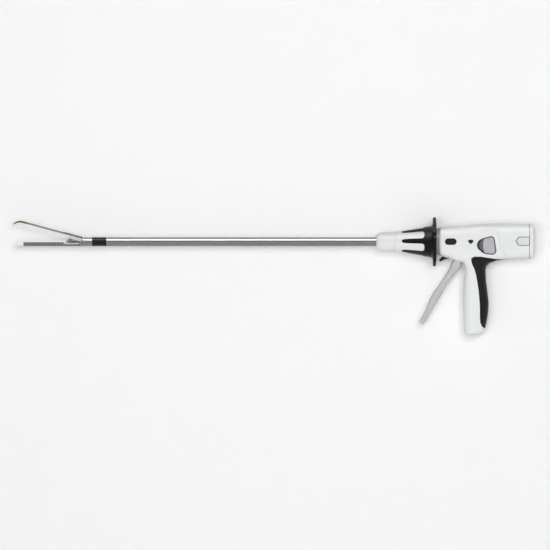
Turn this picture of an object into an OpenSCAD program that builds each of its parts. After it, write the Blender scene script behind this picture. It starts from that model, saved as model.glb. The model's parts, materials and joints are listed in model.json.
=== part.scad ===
// Powered endoscopic linear cutter stapler: a pistol-grip handle, a rotating shaft
// and an articulating pair of jaws that staple and cut.
// The shaft lies along X with the jaws towards -X; the origin is on the shaft's axis
// where the tube leaves the nose cone. The grip hangs towards -Z.

/* [Shaft] */
// Outer diameter of the shaft tube, which passes a 12 mm port
shaft_d = 12; // [11.5:0.1:12.4]
// Length of tube that shows between the nose cone and the joint
shaft_len = 372.5; // [300:5:420]
// Wall of the shaft tube
shaft_wall = 0.8; // [0.5:0.1:1]

/* [Articulation joint] */
// Diameter of the knuckles
joint_d = 12.4; // [12:0.1:13]
// Length of both knuckles together
joint_len = 19.7; // [19:0.1:24]
// Turn to either side
artic_deg = 45; // [20:5:45]
// Diameter of the two knuckle pins
knuckle_pin_d = 3; // [2:0.2:3.4]

/* [Jaws] */
// Length of the steel sleeve behind the jaws, measured along its underside
jaw_tube_len = 16.1; // [15.5:0.1:19]
// Length of the channel in front of the sleeve
channel_len = 78.6; // [74:0.2:90]
// Wall of the channel
channel_wall = 1; // [0.8:0.1:1.2]
// Angle at which the anvil stands open
open_deg = 15.3; // [10:0.1:18]
// Gap between the anvil and the cartridge when closed
tissue_gap = 0.8; // [0.5:0.1:1.2]
// Width of the cut that the knife runs in
knife_slot_w = 1.6; // [1.4:0.1:1.8]
// Thickness of the knife
knife_t = 0.8; // [0.5:0.1:1]
// Distance that the knife travels
knife_stroke = 54; // [40:1:54]
// Distance between staple pockets along a row
staple_pitch = 4.1; // [3.8:0.1:5]

/* [Rotation knob] */
// Length of the nose cone
nose_len = 25.5; // [22:0.5:30]
// Diameter of the nose cone at its rear
nose_d = 25.8; // [24:0.2:27]
// Length of the knob's cone and flange
knob_len = 55.9; // [52:0.5:60]
// Diameter of the knob at its small end
knob_small_d = 27.6; // [27.4:0.2:30]
// Diameter of the knob at its large end
knob_large_d = 40.4; // [39:0.2:42]
// Diameter over the flange's lobes
flange_d = 68; // [60:1:74]
// Thickness of the flange at its rim
flange_t = 4.4; // [3.6:0.2:5]
// Height of the soft ribs above the cone, at their root
rib_h = 1.9; // [1.2:0.1:2.4]
// Number of soft ribs
rib_count = 6; // [4:1:7]
// Turn of the ribs from straight sideways
rib_phase = -3; // [-20:1:20]

/* [Handle] */
// Length of the barrel from its front face to the battery seam
barrel_len = 123.7; // [121:0.5:130]
// Height of the barrel above the shaft's axis at its front
barrel_top = 20; // [19.6:0.1:21]
// Half width of the barrel at its front
barrel_half_w = 19.3; // [18.9:0.1:20]
// Extra half width of the battery end
battery_flare = 2.5; // [1:0.1:3]
// Height of the grip's foot below the shaft's axis
grip_drop = 127.6; // [120:1:140]
// Half width of the grip at its fullest
grip_half_w = 15; // [14:0.2:17]
// Wall of the handle's shells
shell_wall = 2.4; // [2:0.1:2.6]
// Thickness of the soft back of the grip
soft_t = 1.6; // [1.2:0.1:2]
// Length of the grey collar
collar_len = 4.3; // [3.5:0.1:5]
// Diameter of the grey collar
collar_d = 37.2; // [36:0.2:38]

/* [Controls] */
// Angle that the closing trigger swings through
squeeze_deg = 29; // [20:1:29]
// Width of the closing trigger
trigger_w = 14; // [12:0.5:15]
// Width of the firing lever
fire_w = 7; // [5:0.5:9]
// Length of the rocker
rocker_len = 15.6; // [14:0.2:17]
// Height of the rocker
rocker_h = 8.3; // [7.5:0.1:9]
// Travel of the release buttons
release_travel = 2.5; // [1.5:0.1:2.6]

/* [Drive] */
// Diameter of the lead screw
screw_d = 5; // [4:0.2:5.2]
// Diameter of the firing rod
rod_d = 7; // [6.6:0.1:7.4]
// Diameter of the motor
motor_d = 21; // [18:0.5:22]
// Length of the motor
motor_len = 26; // [22:1:27]
// Diameter of the gearbox
gearbox_d = 20; // [17:0.5:21]
// Length of the gearbox
gearbox_len = 20; // [16:1:21]
// Diameter of a battery cell
cell_d = 17; // [16:0.1:17.2]
// Length of a battery cell
cell_len = 33; // [30:0.5:34]

/* [Hidden] */

// Clearances and overruns that all pieces share
over = 1;            // how far a cut runs past the face that it cuts
run_gap = 0.05;      // radial gap of a pin or shaft that turns
seat_gap = 0.02;     // radial gap of a piece that is fixed in its seat
slide_gap = 0.2;     // gap beside a piece that slides
part_gap = 0.3;      // gap between pieces of different bodies
swing_gap = 0.25;    // gap round a knuckle that turns

// Shaft
shaft_r = shaft_d / 2;
shaft_bore_r = shaft_r - shaft_wall;
spigot_r = shaft_r - part_gap;
spigot_len = 40;
plug_len = 6;
plug_r = shaft_bore_r - seat_gap;

// Joint
joint_r = joint_d / 2;
joint_x = -shaft_len - joint_len / 2;
joint_front = -shaft_len - joint_len;
ear_z = joint_r * 0.52;
knuckle_pin_r = knuckle_pin_d / 2;
band_t = 0.6;
band_h = 2.8;
band_room = 0.45;

// Jaws
jaw_r = shaft_r - run_gap;
jaw_tube_wall = 0.7;
jaw_bore_r = shaft_r - jaw_tube_wall;
tail_r = jaw_bore_r - run_gap;
mouth_low = joint_front - jaw_tube_len;
mouth_slant = 4.3;
mouth_high = mouth_low + mouth_slant;
pivot_back = 4.9;
pivot_x = mouth_low + pivot_back;
pivot_z = shaft_r / 6;
pivot_pin_r = 1.2;
channel_front = mouth_low - channel_len;
channel_rear = mouth_low - part_gap;
channel_top = -shaft_r / 6;
channel_step = 1;
channel_low_top = channel_top - channel_step;
deck_z = shaft_r * 0.3;
deck_half_w = shaft_r * 0.94;
anvil_under = deck_z + tissue_gap;
anvil_heel = 3.1;
anvil_rear = pivot_x - anvil_heel;
flange_len = 17;
flange_front = anvil_rear - flange_len - 2 * part_gap;
flange_dip = 0.7;
flange_low = channel_top - flange_dip;
flange_wall = 0.9;
cart_setback = 4;
cart_rear = flange_front - cart_setback;
cart_r = jaw_r - channel_wall - run_gap;
slot_end_gap = 1.4;
slot_end = cart_rear - knife_stroke - slot_end_gap;
nose_reach = 8.4;
nose_wall = 4;
// The nose reaches past the channel, and past the end of the knife slot
nose_front = min(channel_front - nose_reach, slot_end - nose_wall);
split_back = 1.4;
anvil_split = channel_front + split_back;
tip_len = 18.9;
tip_end_x = anvil_split - tip_len;
tip_drop = 7.6;
knife_len = 9;
knife_front = cart_rear;
knife_low = -cart_r + part_gap / 2;
t_slot_skin = 0.8;
t_slot_z = anvil_under + t_slot_skin;
t_slot_h = 1.3;
t_slot_half_w = 2.2;
knife_head_half_w = 1.8;
foot_half_w = 1.2;
foot_h = 0.7;
sled_len = 5;
pocket_len = 2.6;
pocket_w = 0.6;
pocket_depth = 0.8;
row_y = [1.55, 2.75, 3.95];
row_margin = 6;
pocket_count = floor((cart_rear - channel_front - row_margin) / staple_pitch);
window_d = 1.5;
window_count = 11;
window_first_share = 0.08;
window_step_share = 0.056;
bar_drop = 0.75;

// Knob
nose_gap = 1;
knob_front = nose_len + nose_gap;
knob_rear = knob_front + knob_len;
knob_wall = 2.2;
groove_depth = 1.2;
groove_r = nose_d / 2 - groove_depth;
band_share = 0.707;
flange_r = flange_d / 2;
lobe_count = 12;
lobe_cut_r = 9;
lobe_depth = 1.4;
flange_fillet = 3;
flange_root_r = knob_large_d / 2 + flange_fillet;
hub_r = 14;
lip_r = 16.5;
lip_t = 2.6;
hub_bore_r = 8;
rib_front_share = 0.175;
rib_root_w = 7;
rib_corner_r = 4;
rib_tip_share = 0.2;
// Half width of a rib: share of its length, share of its width
rib_shares = [[0, 0.1], [0.012, 0.38], [0.05, 0.58], [0.15, 0.76], [0.4, 0.9], [1, 1]];

// Handle
barrel_front = knob_rear + part_gap + collar_len;
barrel_rear = barrel_front + barrel_len;
front_wall = 3;
cap_len = 6.9;
cap_rear = barrel_rear + cap_len;
half_gap = 0.02;

// Outlines of the barrel: share of its length, then share of its top height
top_shares = [[0, 1], [0.27, 1.11], [0.46, 1.2], [0.61, 1.27], [1, 1.25]];
low_shares = [[0, -0.95], [0.18, -1.32], [0.27, -1.47], [0.4, -1.48], [0.55, -1.39],
    [0.65, -1.3], [0.74, -1.225], [1, -1.17]];
flare_shares = [[0, 0], [0.36, 0], [0.46, 0.25], [0.62, 0.5], [1, 1]];
crease_shares = [[0.462, 0.72], [0.542, 0.685], [0.588, 0.585], [0.629, 0.365], [0.653, 0.07],
    [0.665, -0.375], [0.685, -0.775], [0.717, -1.09], [0.737, -1.215], [0.75, -1.8],
    [1.2, -1.8], [1.2, 1.8], [0.34, 1.8], [0.36, 1.1]];
barrel_station_shares = [0, 0.012, 0.18, 0.27, 0.4, 0.5, 0.62, 0.74, 1];
barrel_power = 3.2;
front_round = 1.6;
ring_n = 24;

// Outlines of the grip: share of its drop, then share of the barrel's length
grip_front_shares = [[0.1, 0.16], [0.188, 0.202], [0.239, 0.2676], [0.306, 0.2838],
    [0.495, 0.2676], [0.631, 0.2627], [0.815, 0.27], [1, 0.2773]];
grip_back_shares = [[0.1, 0.69], [0.185, 0.68], [0.202, 0.653], [0.217, 0.602],
    [0.2335, 0.556], [0.256, 0.5287], [0.2876, 0.5158], [0.3605, 0.514], [0.45, 0.524],
    [0.541, 0.5376], [0.631, 0.55], [0.703, 0.552], [0.774, 0.545], [0.847, 0.533],
    [0.93, 0.517], [0.95, 0.509], [0.978, 0.48], [1, 0.44]];
grip_width_shares = [[0.1, 1.06], [0.2, 1.04], [0.3, 0.95], [0.45, 0.94], [0.65, 1],
    [0.85, 1], [1, 0.92]];
grip_station_shares = [1, 0.98, 0.95, 0.85, 0.77, 0.66, 0.546, 0.43, 0.31,
    0.267, 0.235, 0.216, 0.201, 0.17];
foot_round_shares = [[0, 0], [0.95, 0], [0.98, 0.2], [1, 1]];
foot_round = 3;
grip_power = 2.5;
soft_shares = [[0.162, 0.385], [0.163, 0.4624], [0.177, 0.556], [0.187, 0.63],
    [0.194, 0.8], [1.1, 0.8], [1.1, 0.56], [0.95, 0.54], [0.934, 0.4964], [0.9146, 0.473],
    [0.874, 0.4535], [0.811, 0.4495], [0.703, 0.4495], [0.631, 0.4446], [0.541, 0.4365],
    [0.45, 0.4236], [0.3605, 0.4066], [0.298, 0.389], [0.239, 0.361], [0.198, 0.351],
    [0.175, 0.36]];
soft_cavity = shell_wall + soft_t;

// Controls
rocker_share = 0.1245;
rocker_x = barrel_front + rocker_share * barrel_len;
rocker_proud = 0.9;
rocker_lip = 1.2;
rocker_lip_t = 1.2;
rocker_room = 1.2;
dimple_r = 6;
dimple_depth = 0.5;
window_share = 0.347;
window_x = barrel_front + window_share * barrel_len;
window_len = 7.6;
window_high = 6.2;
window_t = 1.2;
release_share = 0.5327;
release_x = barrel_front + release_share * barrel_len;
release_z = -0.24 * barrel_top;
release_w = 22.5;
release_proud = 1.1;
bezel_w = 1.5;
crescent_w = 3.6;
bezel_t = 1.2;
bezel_floor = shell_wall - bezel_t;
release_room = release_travel - slide_gap;
release_lip_t = 1.2;
// Circles that wrap the button: centre and radius as shares of its width
release_circle_shares = [[-0.1, 0, 0.385], [0.22, 0.32, 0.16], [0.3, -0.34, 0.18],
    [-0.05, -0.3, 0.19]];

// Triggers
trigger_share = 0.218;
trigger_x = barrel_front + trigger_share * barrel_len;
trigger_z = -1.075 * barrel_top;
trigger_len = 92.6;
trigger_hub_r = 5.5;
trigger_pin_r = 2;
arm_len = 10;
arm_half_w = 3.2;
arm_end_r = 3;
drive_pin_r = 1.5;
drive_pin_half = 5.5;
drive_x = trigger_x + arm_len * sin(squeeze_deg / 2);
drive_z = trigger_z + arm_len * cos(squeeze_deg / 2);
yoke_travel = 2 * arm_len * sin(squeeze_deg / 2);
// Blade stations: place from the pivot and half thickness, as shares of the trigger's length
blade_shares = [[-0.012, -0.03, 0.05], [-0.0215, -0.062, 0.0625], [-0.041, -0.11, 0.0775],
    [-0.081, -0.1814, 0.0648], [-0.1328, -0.2505, 0.0518], [-0.183, -0.3207, 0.0464],
    [-0.2225, -0.385, 0.0454], [-0.3067, -0.514, 0.0562], [-0.3812, -0.637, 0.0562],
    [-0.4384, -0.758, 0.0459], [-0.4957, -0.867, 0.04], [-0.5367, -0.9406, 0.0421],
    [-0.5594, -0.973, 0.0346], [-0.568, -0.985, 0.013]];
blade_width_shares = [0.9, 0.96, 1, 1, 0.98, 0.95, 0.94, 0.94, 0.92, 0.9, 0.88, 0.84, 0.66, 0.3];
blade_power = 2.8;
blade_n = 16;
palm_depth = 0.6;
palm_len = 9;
palm_h = 4.6;
palm_share = [-0.068, -0.162];
slot_ahead = 14.5;
slot_behind = 10.2;
slot_below = 22;
slot_above = 8.5;
slot_front = trigger_x - slot_ahead;
slot_rear = trigger_x + slot_behind;
slot_low = trigger_z - slot_below;
slot_high = trigger_z + slot_above;
slot_r = 3;

fire_share = 0.0986;
fire_x = barrel_front + fire_share * barrel_len;
fire_z = -1.05 * barrel_top;
fire_pin_r = 1.2;
fire_eye_r = 2.6;
fire_reach = 12.4;
fire_drop = 4.3;
fire_tip_r = 1.9;
fire_mid_r = 2.3;

// Drive
cell_end_gap = 1.3;
battery_depth = cell_len + cell_end_gap;
battery_front = barrel_rear - battery_depth;
contact_t = 1.5;
motor_rear = battery_front - part_gap - contact_t;
motor_front = motor_rear - motor_len;
gearbox_front = motor_front - gearbox_len;
mount_t = 2.5;
mount_x = gearbox_front - mount_t;
mount_half_w = 15.2;
mount_half_h = 14;
nut_len = 8;
nut_r = 5.5;
nut_rear = mount_x - slide_gap;
nut_front = nut_rear - nut_len;
screw_r = screw_d / 2;
screw_front = nut_front - knife_stroke - front_round;
rod_r = rod_d / 2;
rod_end_gap = 2;
rod_front = -shaft_len + plug_len + rod_end_gap + knife_stroke;
band_rear = -shaft_len + plug_len;
yoke_ahead = 7;
yoke_tail = 8;
yoke_front = barrel_front + yoke_ahead;
yoke_rear = trigger_x + yoke_tail;
yoke_bore_r = nut_r + part_gap;
yoke_r = 7.6;
yoke_flange_r = 9.6;
yoke_flange_t = 2;
yoke_flange_ahead = 7;
yoke_flange_x = drive_x - yoke_flange_ahead;
cheek_in = arm_half_w + part_gap;
cheek_t = 2;
cheek_clear = 1.2;
cheek_low = trigger_z + trigger_hub_r + cheek_clear;
bulkhead_back = 8.5;
bulkhead_x = barrel_front + bulkhead_back;
bulkhead_t = 1.8;
bulkhead_bore_r = yoke_r + part_gap;
spring_r = 9.3;
board_z = 0.725 * barrel_top;
board_t = 1.5;
board_half_w = 12;
board_back = 3;
board_front = mount_x + board_back;
board_len = 40;

// Battery
cell_r = cell_d / 2;
cell_gap = 0.4;
cell_off = cell_r + cell_gap / 2;
case_wall = 0.7;
case_half_w = cell_off + cell_r + case_wall;
case_z = 0.04 * barrel_top;
case_round = 7;
latch_len = 19.2;
latch_front = barrel_rear - latch_len;
latch_notch_r = 2.2;
latch_lead = 2;
latch_corner_share = 0.66;
latch_low = -5.5;
latch_high = 6.8;
latch_t = 1.6;
latch_edge = 0.9;
latch_bump_r = 1.6;
latch_sunk = 0.15;

// Screws: share of the barrel's length, share of its top height; then those of the grip,
// as share of the barrel's length and share of the grip's drop
barrel_screw_shares = [[0.093, -0.625], [0.155, 0.71], [0.42, -0.875], [0.675, -0.85]];
grip_screw_shares = [[0.4, 0.47], [0.38, 0.86]];
screw_shank_r = 1.3;
screw_head_r = 2.5;
screw_head_t = 2;
screw_sunk = 0.8;
screw_reach = 8;
boss_r = 3;
boss_skin = 1.4;
big = 4 * barrel_top;

$fn = 48;

// Shared forms

// Half width of the barrel at a place on its side
function share_at(x) = (x - barrel_front) / barrel_len;
function barrel_high(x) = lookup(share_at(x), top_shares) * barrel_top;
function barrel_low(x) = lookup(share_at(x), low_shares) * barrel_top;
function barrel_wide(x, flared) =
    barrel_half_w + flared * lookup(share_at(x), flare_shares) * battery_flare;
function bulge(part, power) = pow(max(0, 1 - pow(abs(part), power)), 1 / power);
function side_y(x, z, flared = 0) =
    let (mid = (barrel_high(x) + barrel_low(x)) / 2, half = (barrel_high(x) - barrel_low(x)) / 2)
    barrel_wide(x, flared) * bulge((z - mid) / half, barrel_power);
function grip_x0(z) = barrel_front + lookup(-z / grip_drop, grip_front_shares) * barrel_len;
function grip_x1(z) = barrel_front + lookup(-z / grip_drop, grip_back_shares) * barrel_len;
function grip_wide(z) = lookup(-z / grip_drop, grip_width_shares) * grip_half_w;
function grip_y(x, z) =
    let (mid = (grip_x0(z) + grip_x1(z)) / 2, half = (grip_x1(z) - grip_x0(z)) / 2)
    grip_wide(z) * bulge((x - mid) / half, grip_power);
function oval(angle, power) =
    [sign(cos(angle)) * pow(abs(cos(angle)), 2 / power),
        sign(sin(angle)) * pow(abs(sin(angle)), 2 / power)];
function barrel_ring(x, flared, inset) =
    let (mid = (barrel_high(x) + barrel_low(x)) / 2,
        half = (barrel_high(x) - barrel_low(x)) / 2 - inset,
        wide = barrel_wide(x, flared) - inset)
    [for (i = [0 : ring_n - 1]) let (p = oval(360 * (i + 0.5) / ring_n, barrel_power))
        [x, wide * p[0], mid + half * p[1]]];
function grip_ring(z, inset) =
    let (mid = (grip_x0(z) + grip_x1(z)) / 2, half = (grip_x1(z) - grip_x0(z)) / 2 - inset,
        wide = grip_wide(z) - inset)
    [for (i = [0 : ring_n - 1]) let (p = oval(360 * (i + 0.5) / ring_n, grip_power))
        [mid + half * p[0], wide * p[1], z]];

// Joins convex rings of points one after another
module loft(rings) {
    n = len(rings[0]);
    for (i = [0 : len(rings) - 2])
        hull()
            polyhedron(concat(rings[i], rings[i + 1]),
                [[for (k = [0 : n - 1]) k], [for (k = [0 : n - 1]) 2 * n - 1 - k]]);
}

// One closed skin over rings of points, each ring turning right-handed about the way it goes
module skin(rings) {
    n = len(rings[0]);
    m = len(rings);
    points = [for (r = rings) for (p = r) p];
    sides = [for (j = [0 : m - 2]) for (k = [0 : n - 1]) each
        [[j * n + k, (j + 1) * n + k, (j + 1) * n + (k + 1) % n],
            [j * n + k, (j + 1) * n + (k + 1) % n, j * n + (k + 1) % n]]];
    first = [for (k = [1 : n - 2]) [0, k, k + 1]];
    last = [for (k = [1 : n - 2]) [m * n - n, m * n - n + k + 1, m * n - n + k]];
    polyhedron(points, concat(first, sides, last));
}

// An outline drawn as [X, Z], pulled along Y
module prism_y(from, to) {
    translate([0, to, 0]) rotate([90, 0, 0]) linear_extrude(to - from) children();
}

// A profile drawn as [radius, X], turned about the shaft's axis
module turned(points) {
    rotate([0, 90, 0]) rotate_extrude($fn = 96) polygon(points);
}

// A round bar along X
module bar_x(from, to, r) {
    translate([from, 0, 0]) rotate([0, 90, 0]) cylinder(h = to - from, r = r);
}

// A round bar along Y
module bar_y(x, z, from, to, r) {
    translate([x, from, z]) rotate([-90, 0, 0]) cylinder(h = to - from, r = r);
}

// A block between two X, a half width about the middle plane and two Z
module block(x0, x1, half, z0, z1) {
    translate([x0, -half, z0]) cube([x1 - x0, 2 * half, z1 - z0]);
}

// A pill standing on the side of the barrel, from one Y to another
module pill_y(x, z, length, height, from, to) {
    r = height / 2;
    run = length / 2 - r;
    bar_y(x - run, z, from, to, r);
    bar_y(x + run, z, from, to, r);
    translate([x - run, from, z - r]) cube([2 * run, to - from, height]);
}

// Puts a piece that is drawn for the -Y side on either side
module on_side(side) {
    mirror([0, side > 0 ? 1 : 0, 0]) children();
}

// Handle

module barrel_form(inset) {
    loft([for (s = barrel_station_shares)
        barrel_ring(barrel_front + s * barrel_len, 0, inset + (s == 0 ? front_round : 0))]);
    intersection() {
        loft([for (s = barrel_station_shares) if (s >= barrel_station_shares[4])
            barrel_ring(barrel_front + s * barrel_len, 1, inset)]);
        prism_y(-big, big)
            polygon([for (p = crease_shares)
                [barrel_front + p[0] * barrel_len, p[1] * barrel_top]]);
    }
}

module grip_form(inset) {
    loft([for (t = grip_station_shares)
        let (z = -(grip_drop - inset) * t)
        grip_ring(z, inset + foot_round * lookup(t, foot_round_shares))]);
}

module handle_form(inset) {
    barrel_form(inset);
    grip_form(inset);
}

module soft_region(grow) {
    prism_y(-big, big)
        offset(delta = grow)
            polygon([for (p = soft_shares)
                [barrel_front + p[1] * barrel_len, -p[0] * grip_drop]]);
}

module release_outline(grow) {
    hull()
        for (c = release_circle_shares)
            translate([release_x + c[0] * release_w, release_z + c[1] * release_w])
                circle(r = c[2] * release_w + grow, $fn = 32);
}

module bezel_outline(grow) {
    hull() {
        release_outline(bezel_w + grow);
        translate([-crescent_w, 0]) release_outline(grow);
    }
}

module latch_outline(grow) {
    r = (latch_high - latch_low) / 2 + grow;
    mid = (latch_high + latch_low) / 2;
    corner = latch_corner_share * r;
    hull() {
        for (s = [-1, 1])
            translate([latch_front + latch_lead + corner - grow, mid + s * (r - corner)])
                circle(r = corner, $fn = 24);
        translate([barrel_rear + over - corner, mid - r]) square([corner, 2 * r]);
    }
    // Nail notch
    translate([latch_front + latch_notch_r, mid]) circle(r = latch_notch_r + grow, $fn = 24);
}

module cavity_form() {
    // Barrel's room, from the front wall back to the battery
    intersection() {
        loft([for (s = barrel_station_shares)
            barrel_ring(barrel_front + s * barrel_len, 0, shell_wall)]);
        block(barrel_front + front_wall, battery_front - part_gap, big, -big, big);
    }
    // Grip's room
    intersection() {
        loft([for (t = grip_station_shares) if (t < 0.97) grip_ring(-grip_drop * t, soft_cavity)]);
        block(trigger_x - trigger_hub_r, barrel_rear, big, -big, -barrel_top / 2);
    }
    // Battery's room, open at the rear
    battery_block(battery_front - part_gap, barrel_rear + over, part_gap);
}

module battery_block(x0, x1, grow) {
    r = case_round + grow;
    hull()
        for (sy = [-1, 1])
            for (sz = [-1, 1])
                translate([x0, sy * (case_half_w + grow - r),
                    case_z + sz * (case_half_w + case_wall + grow - r)])
                    rotate([0, 90, 0])
                        cylinder(h = x1 - x0, r = r, $fn = 32);
}

// Bosses, ledges and the bulkhead inside one half
module inner_ribs(side) {
    // Bulkhead that the closure spring rests on
    difference() {
        loft([for (x = [bulkhead_x, bulkhead_x + bulkhead_t]) barrel_ring(x, 0, shell_wall / 2)]);
        bar_x(bulkhead_x - over, bulkhead_x + bulkhead_t + over, bulkhead_bore_r);
    }
    // Screw bosses
    for (p = barrel_screw_shares) {
        x = barrel_front + p[0] * barrel_len;
        z = p[1] * barrel_top;
        screw_boss(x, z, side_y(x, z) - boss_skin, side);
    }
    for (p = grip_screw_shares) {
        x = barrel_front + p[0] * barrel_len;
        z = -p[1] * grip_drop;
        screw_boss(x, z, grip_y(x, z) - boss_skin, side);
    }
    // Bosses of the two trigger pins
    trigger_wall = side_y(trigger_x, trigger_z) - boss_skin;
    boss_in = trigger_w / 2 + part_gap;
    on_side(side) bar_y(trigger_x, trigger_z, -trigger_wall, -boss_in, trigger_pin_r + boss_skin);
    fire_wall = side_y(fire_x, fire_z) - boss_skin;
    on_side(side)
        bar_y(fire_x, fire_z, -fire_wall, -fire_w / 2 - part_gap, fire_pin_r + boss_skin / 2);
    // Ledges of the circuit board
    for (x = [board_front + boss_r, board_front + board_len - boss_r])
        on_side(side)
            translate([x - boss_r / 2, -side_y(x, board_z - boss_r) + shell_wall / 2,
                board_z - boss_r])
                cube([boss_r, side_y(x, board_z - boss_r) - board_half_w, boss_r]);
}

module screw_boss(x, z, wall_y, side) {
    on_side(side)
        hull() {
            bar_y(x, z, -wall_y, -half_gap, boss_r);
        }
}

module half_body(side) {
    $fn = 20;
    difference() {
        union() {
            difference() {
                handle_form(0);
                // Seat of the soft back
                difference() {
                    soft_region(half_gap);
                    handle_form(soft_t + half_gap);
                }
                cavity_form();
            }
            inner_ribs(side);
        }
        // Only this half's side is kept
        on_side(side)
            translate([-big, -half_gap / 2, -2 * grip_drop])
                cube([6 * big, big, 4 * grip_drop]);
        // Hole for the knob's hub
        bar_x(barrel_front - over, barrel_front + front_wall + over, hub_r + part_gap, $fn = 48);
        // Slot of the closing trigger
        prism_y(-trigger_w / 2 - part_gap, trigger_w / 2 + part_gap)
            hull()
                for (x = [slot_front + slot_r, slot_rear - slot_r])
                    for (z = [slot_low + slot_r, slot_high - slot_r])
                        translate([x, z]) circle(r = slot_r, $fn = 24);
        // Slot of the firing lever
        prism_y(-fire_w / 2 - part_gap, fire_w / 2 + part_gap)
            hull()
                for (x = [barrel_front - fire_reach, fire_x + fire_eye_r])
                    for (z = [fire_z - fire_reach, fire_z + part_gap])
                        translate([x, z]) circle(r = fire_eye_r, $fn = 24);
        // Pin holes
        bar_y(trigger_x, trigger_z, -trigger_pin_half(), trigger_pin_half(),
            trigger_pin_r + run_gap);
        bar_y(fire_x, fire_z, -fire_pin_half(), fire_pin_half(), fire_pin_r + run_gap);
        // Rocker, release button and latch
        on_side(side) {
            pill_y(rocker_x, 0, rocker_len + 2 * part_gap, rocker_h + 2 * part_gap,
                -big, -barrel_half_w + shell_wall + over);
            pill_y(rocker_x, 0, rocker_len + 2 * rocker_lip + 5 * part_gap,
                rocker_h + 2 * rocker_lip + 4 * part_gap, -barrel_half_w + shell_wall,
                -barrel_half_w + shell_wall + 2 * rocker_room + rocker_lip_t);
            prism_y(-big, -release_seat_y() + half_gap) bezel_outline(half_gap);
            prism_y(-big, -release_seat_y() + bezel_floor + release_room)
                release_outline(part_gap);
            prism_y(-big, -case_half_w) latch_outline(0);
        }
        if (side < 0)
            translate([window_x, -side_y(window_x, 0) + window_t, 0])
                window_form(half_gap, over);
        if (side > 0)
            for (s = all_screws()) {
                bar_y(s[0], s[1], s[2] - screw_sunk - screw_head_t, big,
                    screw_head_r + run_gap, $fn = 32);
            }
        for (s = all_screws())
            bar_y(s[0], s[1], -screw_reach - half_gap, big, screw_shank_r + run_gap, $fn = 32);
    }
}

function trigger_pin_half() = side_y(trigger_x, trigger_z) - boss_skin;
function fire_pin_half() = side_y(fire_x, fire_z) - part_gap / 2;
function release_seat_y() = side_y(release_x, release_z) - bezel_t;
function all_screws() = concat(
    [for (p = barrel_screw_shares)
        let (x = barrel_front + p[0] * barrel_len, z = p[1] * barrel_top)
        [x, z, side_y(x, z)]],
    [for (p = grip_screw_shares)
        let (x = barrel_front + p[0] * barrel_len, z = -p[1] * grip_drop)
        [x, z, grip_y(x, z)]]);

module window_form(grow, proud) {
    prism_y(-window_t - proud - over * (proud > 0 ? 1 : 0), grow)
        hull()
            for (s = [-1, 1])
                translate([s * (window_len - window_high) / 2, 0])
                    circle(r = window_high / 2 + grow, $fn = 24);
}

module housing_left() {
    color("white") half_body(-1);
}

module housing_right() {
    color("white") half_body(1);
}

module grip_overmould() {
    color([0.12, 0.12, 0.13])
        difference() {
            intersection() {
                handle_form(0);
                soft_region(0);
            }
            handle_form(soft_t);
        }
}

module front_collar() {
    color([0.56, 0.57, 0.58])
        turned([[hub_r + part_gap, barrel_front - collar_len],
            [collar_d / 2 - half_lip(), barrel_front - collar_len],
            [collar_d / 2, barrel_front - collar_len + half_lip()], [collar_d / 2, barrel_front],
            [hub_r + part_gap, barrel_front]]);
}

function half_lip() = collar_len / 6;

module housing_screws() {
    color([0.62, 0.63, 0.65])
        for (s = all_screws()) {
            seat = s[2] - screw_sunk;
            difference() {
                union() {
                    bar_y(s[0], s[1], seat - screw_head_t, seat, screw_head_r);
                    bar_y(s[0], s[1], -screw_reach, seat - screw_head_t, screw_shank_r);
                }
                // Six-sided socket
                translate([s[0], seat - screw_head_t / 2, s[1]])
                    rotate([-90, 0, 0])
                        cylinder(h = screw_head_t, r = screw_head_r / 2, $fn = 6);
            }
        }
}

module status_window() {
    color([0.2, 0.22, 0.25])
        translate([window_x, -side_y(window_x, 0) + window_t, 0]) window_form(0, 0);
}

module release_bezel(side) {
    color([0.25, 0.26, 0.27])
        on_side(side)
            difference() {
                prism_y(-release_seat_y() - bezel_t, -release_seat_y()) bezel_outline(0);
                prism_y(-release_seat_y() - bezel_t - over, -release_seat_y() + over)
                    release_outline(part_gap);
            }
}

module release_bezel_left() {
    release_bezel(-1);
}

module release_bezel_right() {
    release_bezel(1);
}

module release_button(side) {
    face = -release_seat_y() - bezel_t - release_proud;
    lip_y = -release_seat_y() + bezel_floor + release_room;
    color([0.72, 0.73, 0.74])
        on_side(side) {
            difference() {
                prism_y(face, lip_y + release_lip_t) release_outline(0);
                // Thumb hollow
                translate([release_x, face - 4 * release_w / 2 + dimple_depth, release_z])
                    sphere(r = 2 * release_w, $fn = 96);
            }
            // Lip that keeps it in
            prism_y(lip_y, lip_y + release_lip_t) release_outline(rocker_lip);
        }
}

module release_button_left() {
    release_button(-1);
}

module release_button_right() {
    release_button(1);
}

module rocker(side) {
    face = -barrel_half_w - rocker_proud;
    lip_y = -barrel_half_w + shell_wall + rocker_room;
    color([0.1, 0.1, 0.11])
        on_side(side) {
            difference() {
                pill_y(rocker_x, 0, rocker_len, rocker_h, face, lip_y + rocker_lip_t);
                for (s = [-1, 1])
                    translate([rocker_x + s * rocker_len / 4, face - dimple_r + dimple_depth, 0])
                        sphere(r = dimple_r);
            }
            pill_y(rocker_x, 0, rocker_len + 2 * rocker_lip, rocker_h + 2 * rocker_lip,
                lip_y, lip_y + rocker_lip_t);
        }
}

module rocker_left() {
    rocker(-1);
}

module rocker_right() {
    rocker(1);
}

module circuit_board() {
    color("darkgreen")
        block(board_front, board_front + board_len, board_half_w, board_z, board_z + board_t);
    color("black") {
        block(board_front + board_t, board_front + board_len / 4, board_half_w / 2,
            board_z + board_t, board_z + 2 * board_t);
        block(board_front + board_len / 2, board_front + 3 * board_len / 4, board_half_w / 3,
            board_z + board_t, board_z + 2 * board_t);
    }
}

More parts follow.
